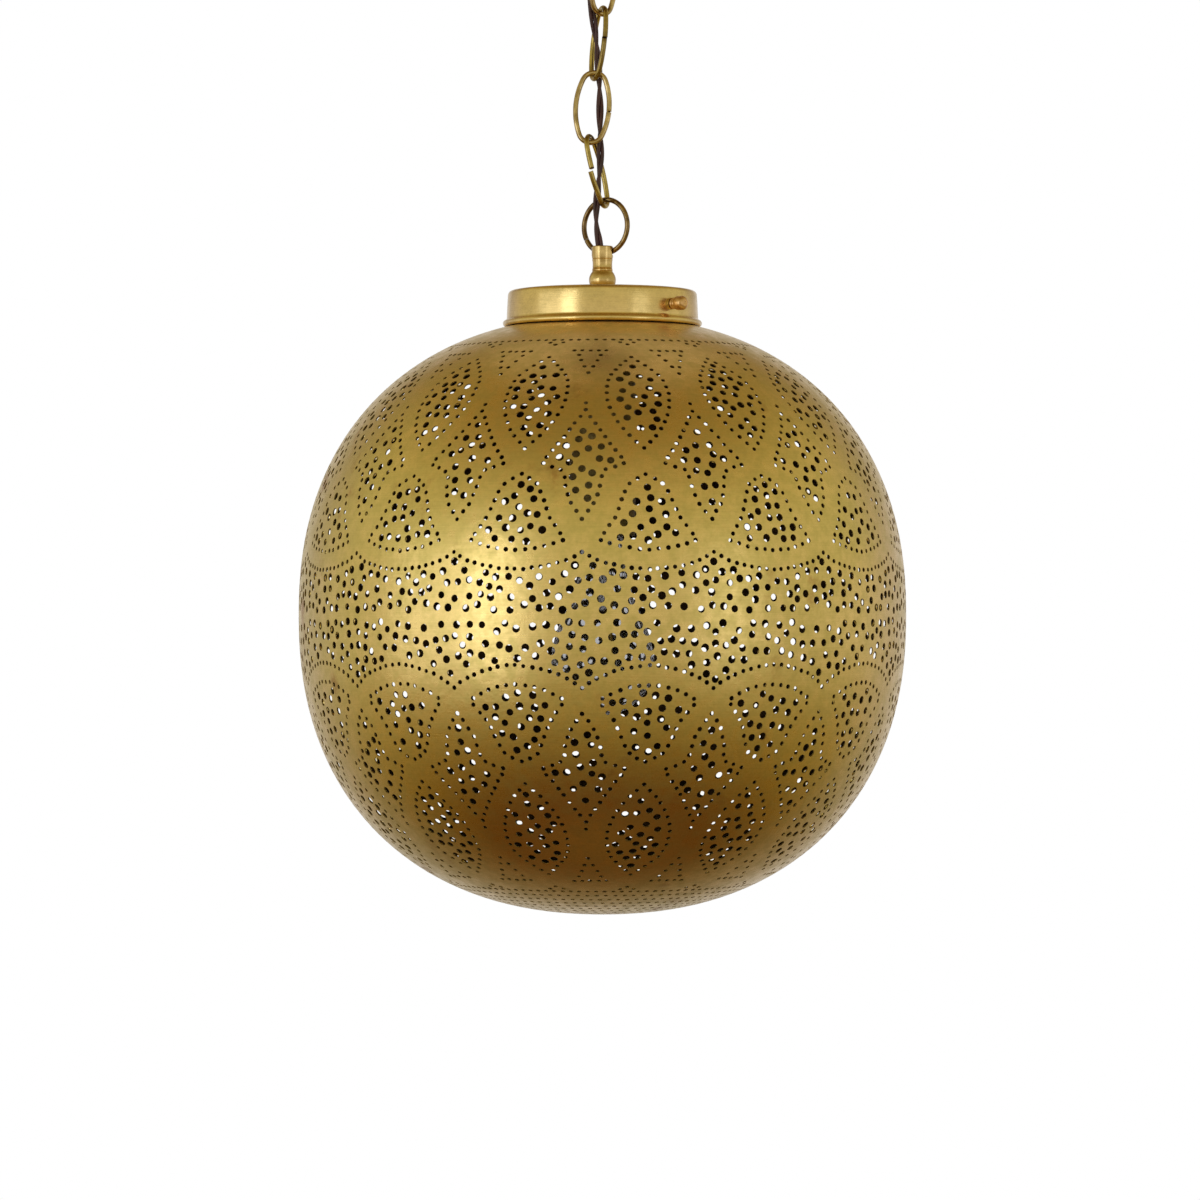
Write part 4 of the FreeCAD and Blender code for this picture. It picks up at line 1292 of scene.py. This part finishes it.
# ---- the other CAD pieces keep their shape and take these finishes
CAD_FINISHES = {
    "steel": (
        "ceiling_bracket", "loop_nuts", "gland_nut", "terminal_screws", "stem", "stem_nut", "stem_washer",
        "cover_nut", "centre_contact", "holder_screws", "bulb_contact",
    ),
    "canopy_brass": ("canopy_cover", "canopy_loop"),
    "turned_brass": ("flex_gland", "socket_shell", "bulb_cap"),
    "collar_brass": ("screw_bosses",),
    "dull_brass": ("spacer_tube", "holder_cover"),
    "brown_phenolic": ("holder_cap", "holder_skirt"),
    "porcelain": ("holder_insert",),
    "terminal_nylon": ("terminal_block",),
    "flex_sheath": ("ceiling_leads", "holder_leads"),
    "black_glass": ("bulb_insulator",),
    "clear_glass": ("bulb_glass", "bulb_mount"),
    "filament_phosphor": ("bulb_filaments",),
}


def dress_nodes():
    for finish, nodes in CAD_FINISHES.items():
        for name in nodes:
            piece = frame["nodes"][name]
            piece.data.materials.clear()
            piece.data.materials.append(materials[finish])


dress_nodes()


# ---- light
def world():
    """White beyond the lantern, and a warm dim room in front of it that the brass reflects."""
    made = bpy.data.worlds.new("studio")
    made.use_nodes = True
    scene.world = made
    bench = Bench(made.node_tree)
    made.node_tree.nodes.clear()
    way = bench.node("ShaderNodeTexCoord", out="Generated")
    y = bench.node("ShaderNodeSeparateXYZ", {}, {0: way}, "Y")
    z = y.other("Z")
    level = z * 0.5 + 0.5
    room = bench.node("ShaderNodeValToRGB", {"stops": [
        (0.0, (0.16, 0.085, 0.020)),
        (0.042, (0.105, 0.038, 0.004)),
        (0.157, (0.19, 0.115, 0.012)),
        (0.297, (0.33, 0.245, 0.060)),
        (0.42, (0.48, 0.42, 0.25)),
        (0.49, (0.70, 0.66, 0.50)),
        (0.55, (0.58, 0.53, 0.32)),
        (0.63, (0.58, 0.55, 0.32)),
        (0.773, (0.52, 0.45, 0.20)),
        (0.906, (0.30, 0.20, 0.035)),
        (1.0, (0.23, 0.135, 0.003)),
    ]}, {0: level})
    behind = bench.node("ShaderNodeValToRGB", {"stops": [
        (0.0, (0.15, 0.09, 0.03)),
        (0.135, (0.26, 0.21, 0.14)),
        (0.5, (0.53, 0.50, 0.50)),
        (0.78, (0.24, 0.155, 0.055)),
        (1.0, (0.20, 0.12, 0.003)),
    ]}, {0: level})
    seen = bench.mix(bench.spread(y, 0.30, 0.85), room, behind)
    seen = bench.mix(bench.spread(y, 0.80, 0.98), seen, (0.72, 0.72, 0.76))
    glossy = bench.node("ShaderNodeLightPath", out="Is Glossy Ray")
    seen = bench.mix(glossy, (0.95, 0.95, 0.95), seen)
    straight = bench.node("ShaderNodeLightPath", out="Is Camera Ray")
    colour = bench.mix(straight, seen, (1.0, 1.0, 1.0))
    bench.node("ShaderNodeOutputWorld", {}, {0: bench.node("ShaderNodeBackground", {}, {0: colour, 1: 1.0})})


def softbox(name, azimuth, elevation, distance, size, power, colour=(1, 1, 1)):
    """Flat light that faces the globe's middle from a place round it, in degrees and metres."""
    data = bpy.data.lights.new(name, "AREA")
    data.shape = "RECTANGLE"
    data.size, data.size_y = size
    data.energy = power
    data.color = colour
    made = put(name, data)
    place = outward(azimuth) * math.cos(math.radians(elevation)) + UP * math.sin(math.radians(elevation))
    made.location = Vector((0, 0, globe_z)) + place * distance
    made.rotation_euler = place.to_track_quat("Z", "Y").to_euler()


def floor():
    """Pale floor far enough below to stay out of the lantern's way."""
    mesh = bpy.data.meshes.new("floor")
    radius = 2.6
    level = globe_z - 1.0
    steps = 64
    angles = [TURN * i / steps for i in range(steps)]
    mesh.from_pydata(
        [(radius * math.cos(a), radius * math.sin(a), level) for a in angles], [], [tuple(range(steps))]
    )
    made = put("floor", mesh)
    paint = Finish("pale floor", Roughness=0.7)
    cloud = paint.noise(paint.place, 3.0)
    paint.give(Base_Color=paint.mix(cloud, (0.82, 0.81, 0.79), (0.86, 0.85, 0.83)))
    mesh.materials.append(paint.material)
    made.visible_glossy = False


world()
floor()
DAYLIGHT = (0.88, 0.95, 1.0)
softbox("left window", -40, 3, 2.2, (0.7, 1.3), 3.9, DAYLIGHT)
softbox("left wall", -65, 1, 2.2, (1.3, 1.2), 2.6, DAYLIGHT)
softbox("right window", 46, 1, 2.4, (0.8, 1.1), 1.5, DAYLIGHT)
softbox("overhead", 180, 68, 2.0, (1.4, 1.4), 1.0)
scene.view_settings.view_transform = "Standard"
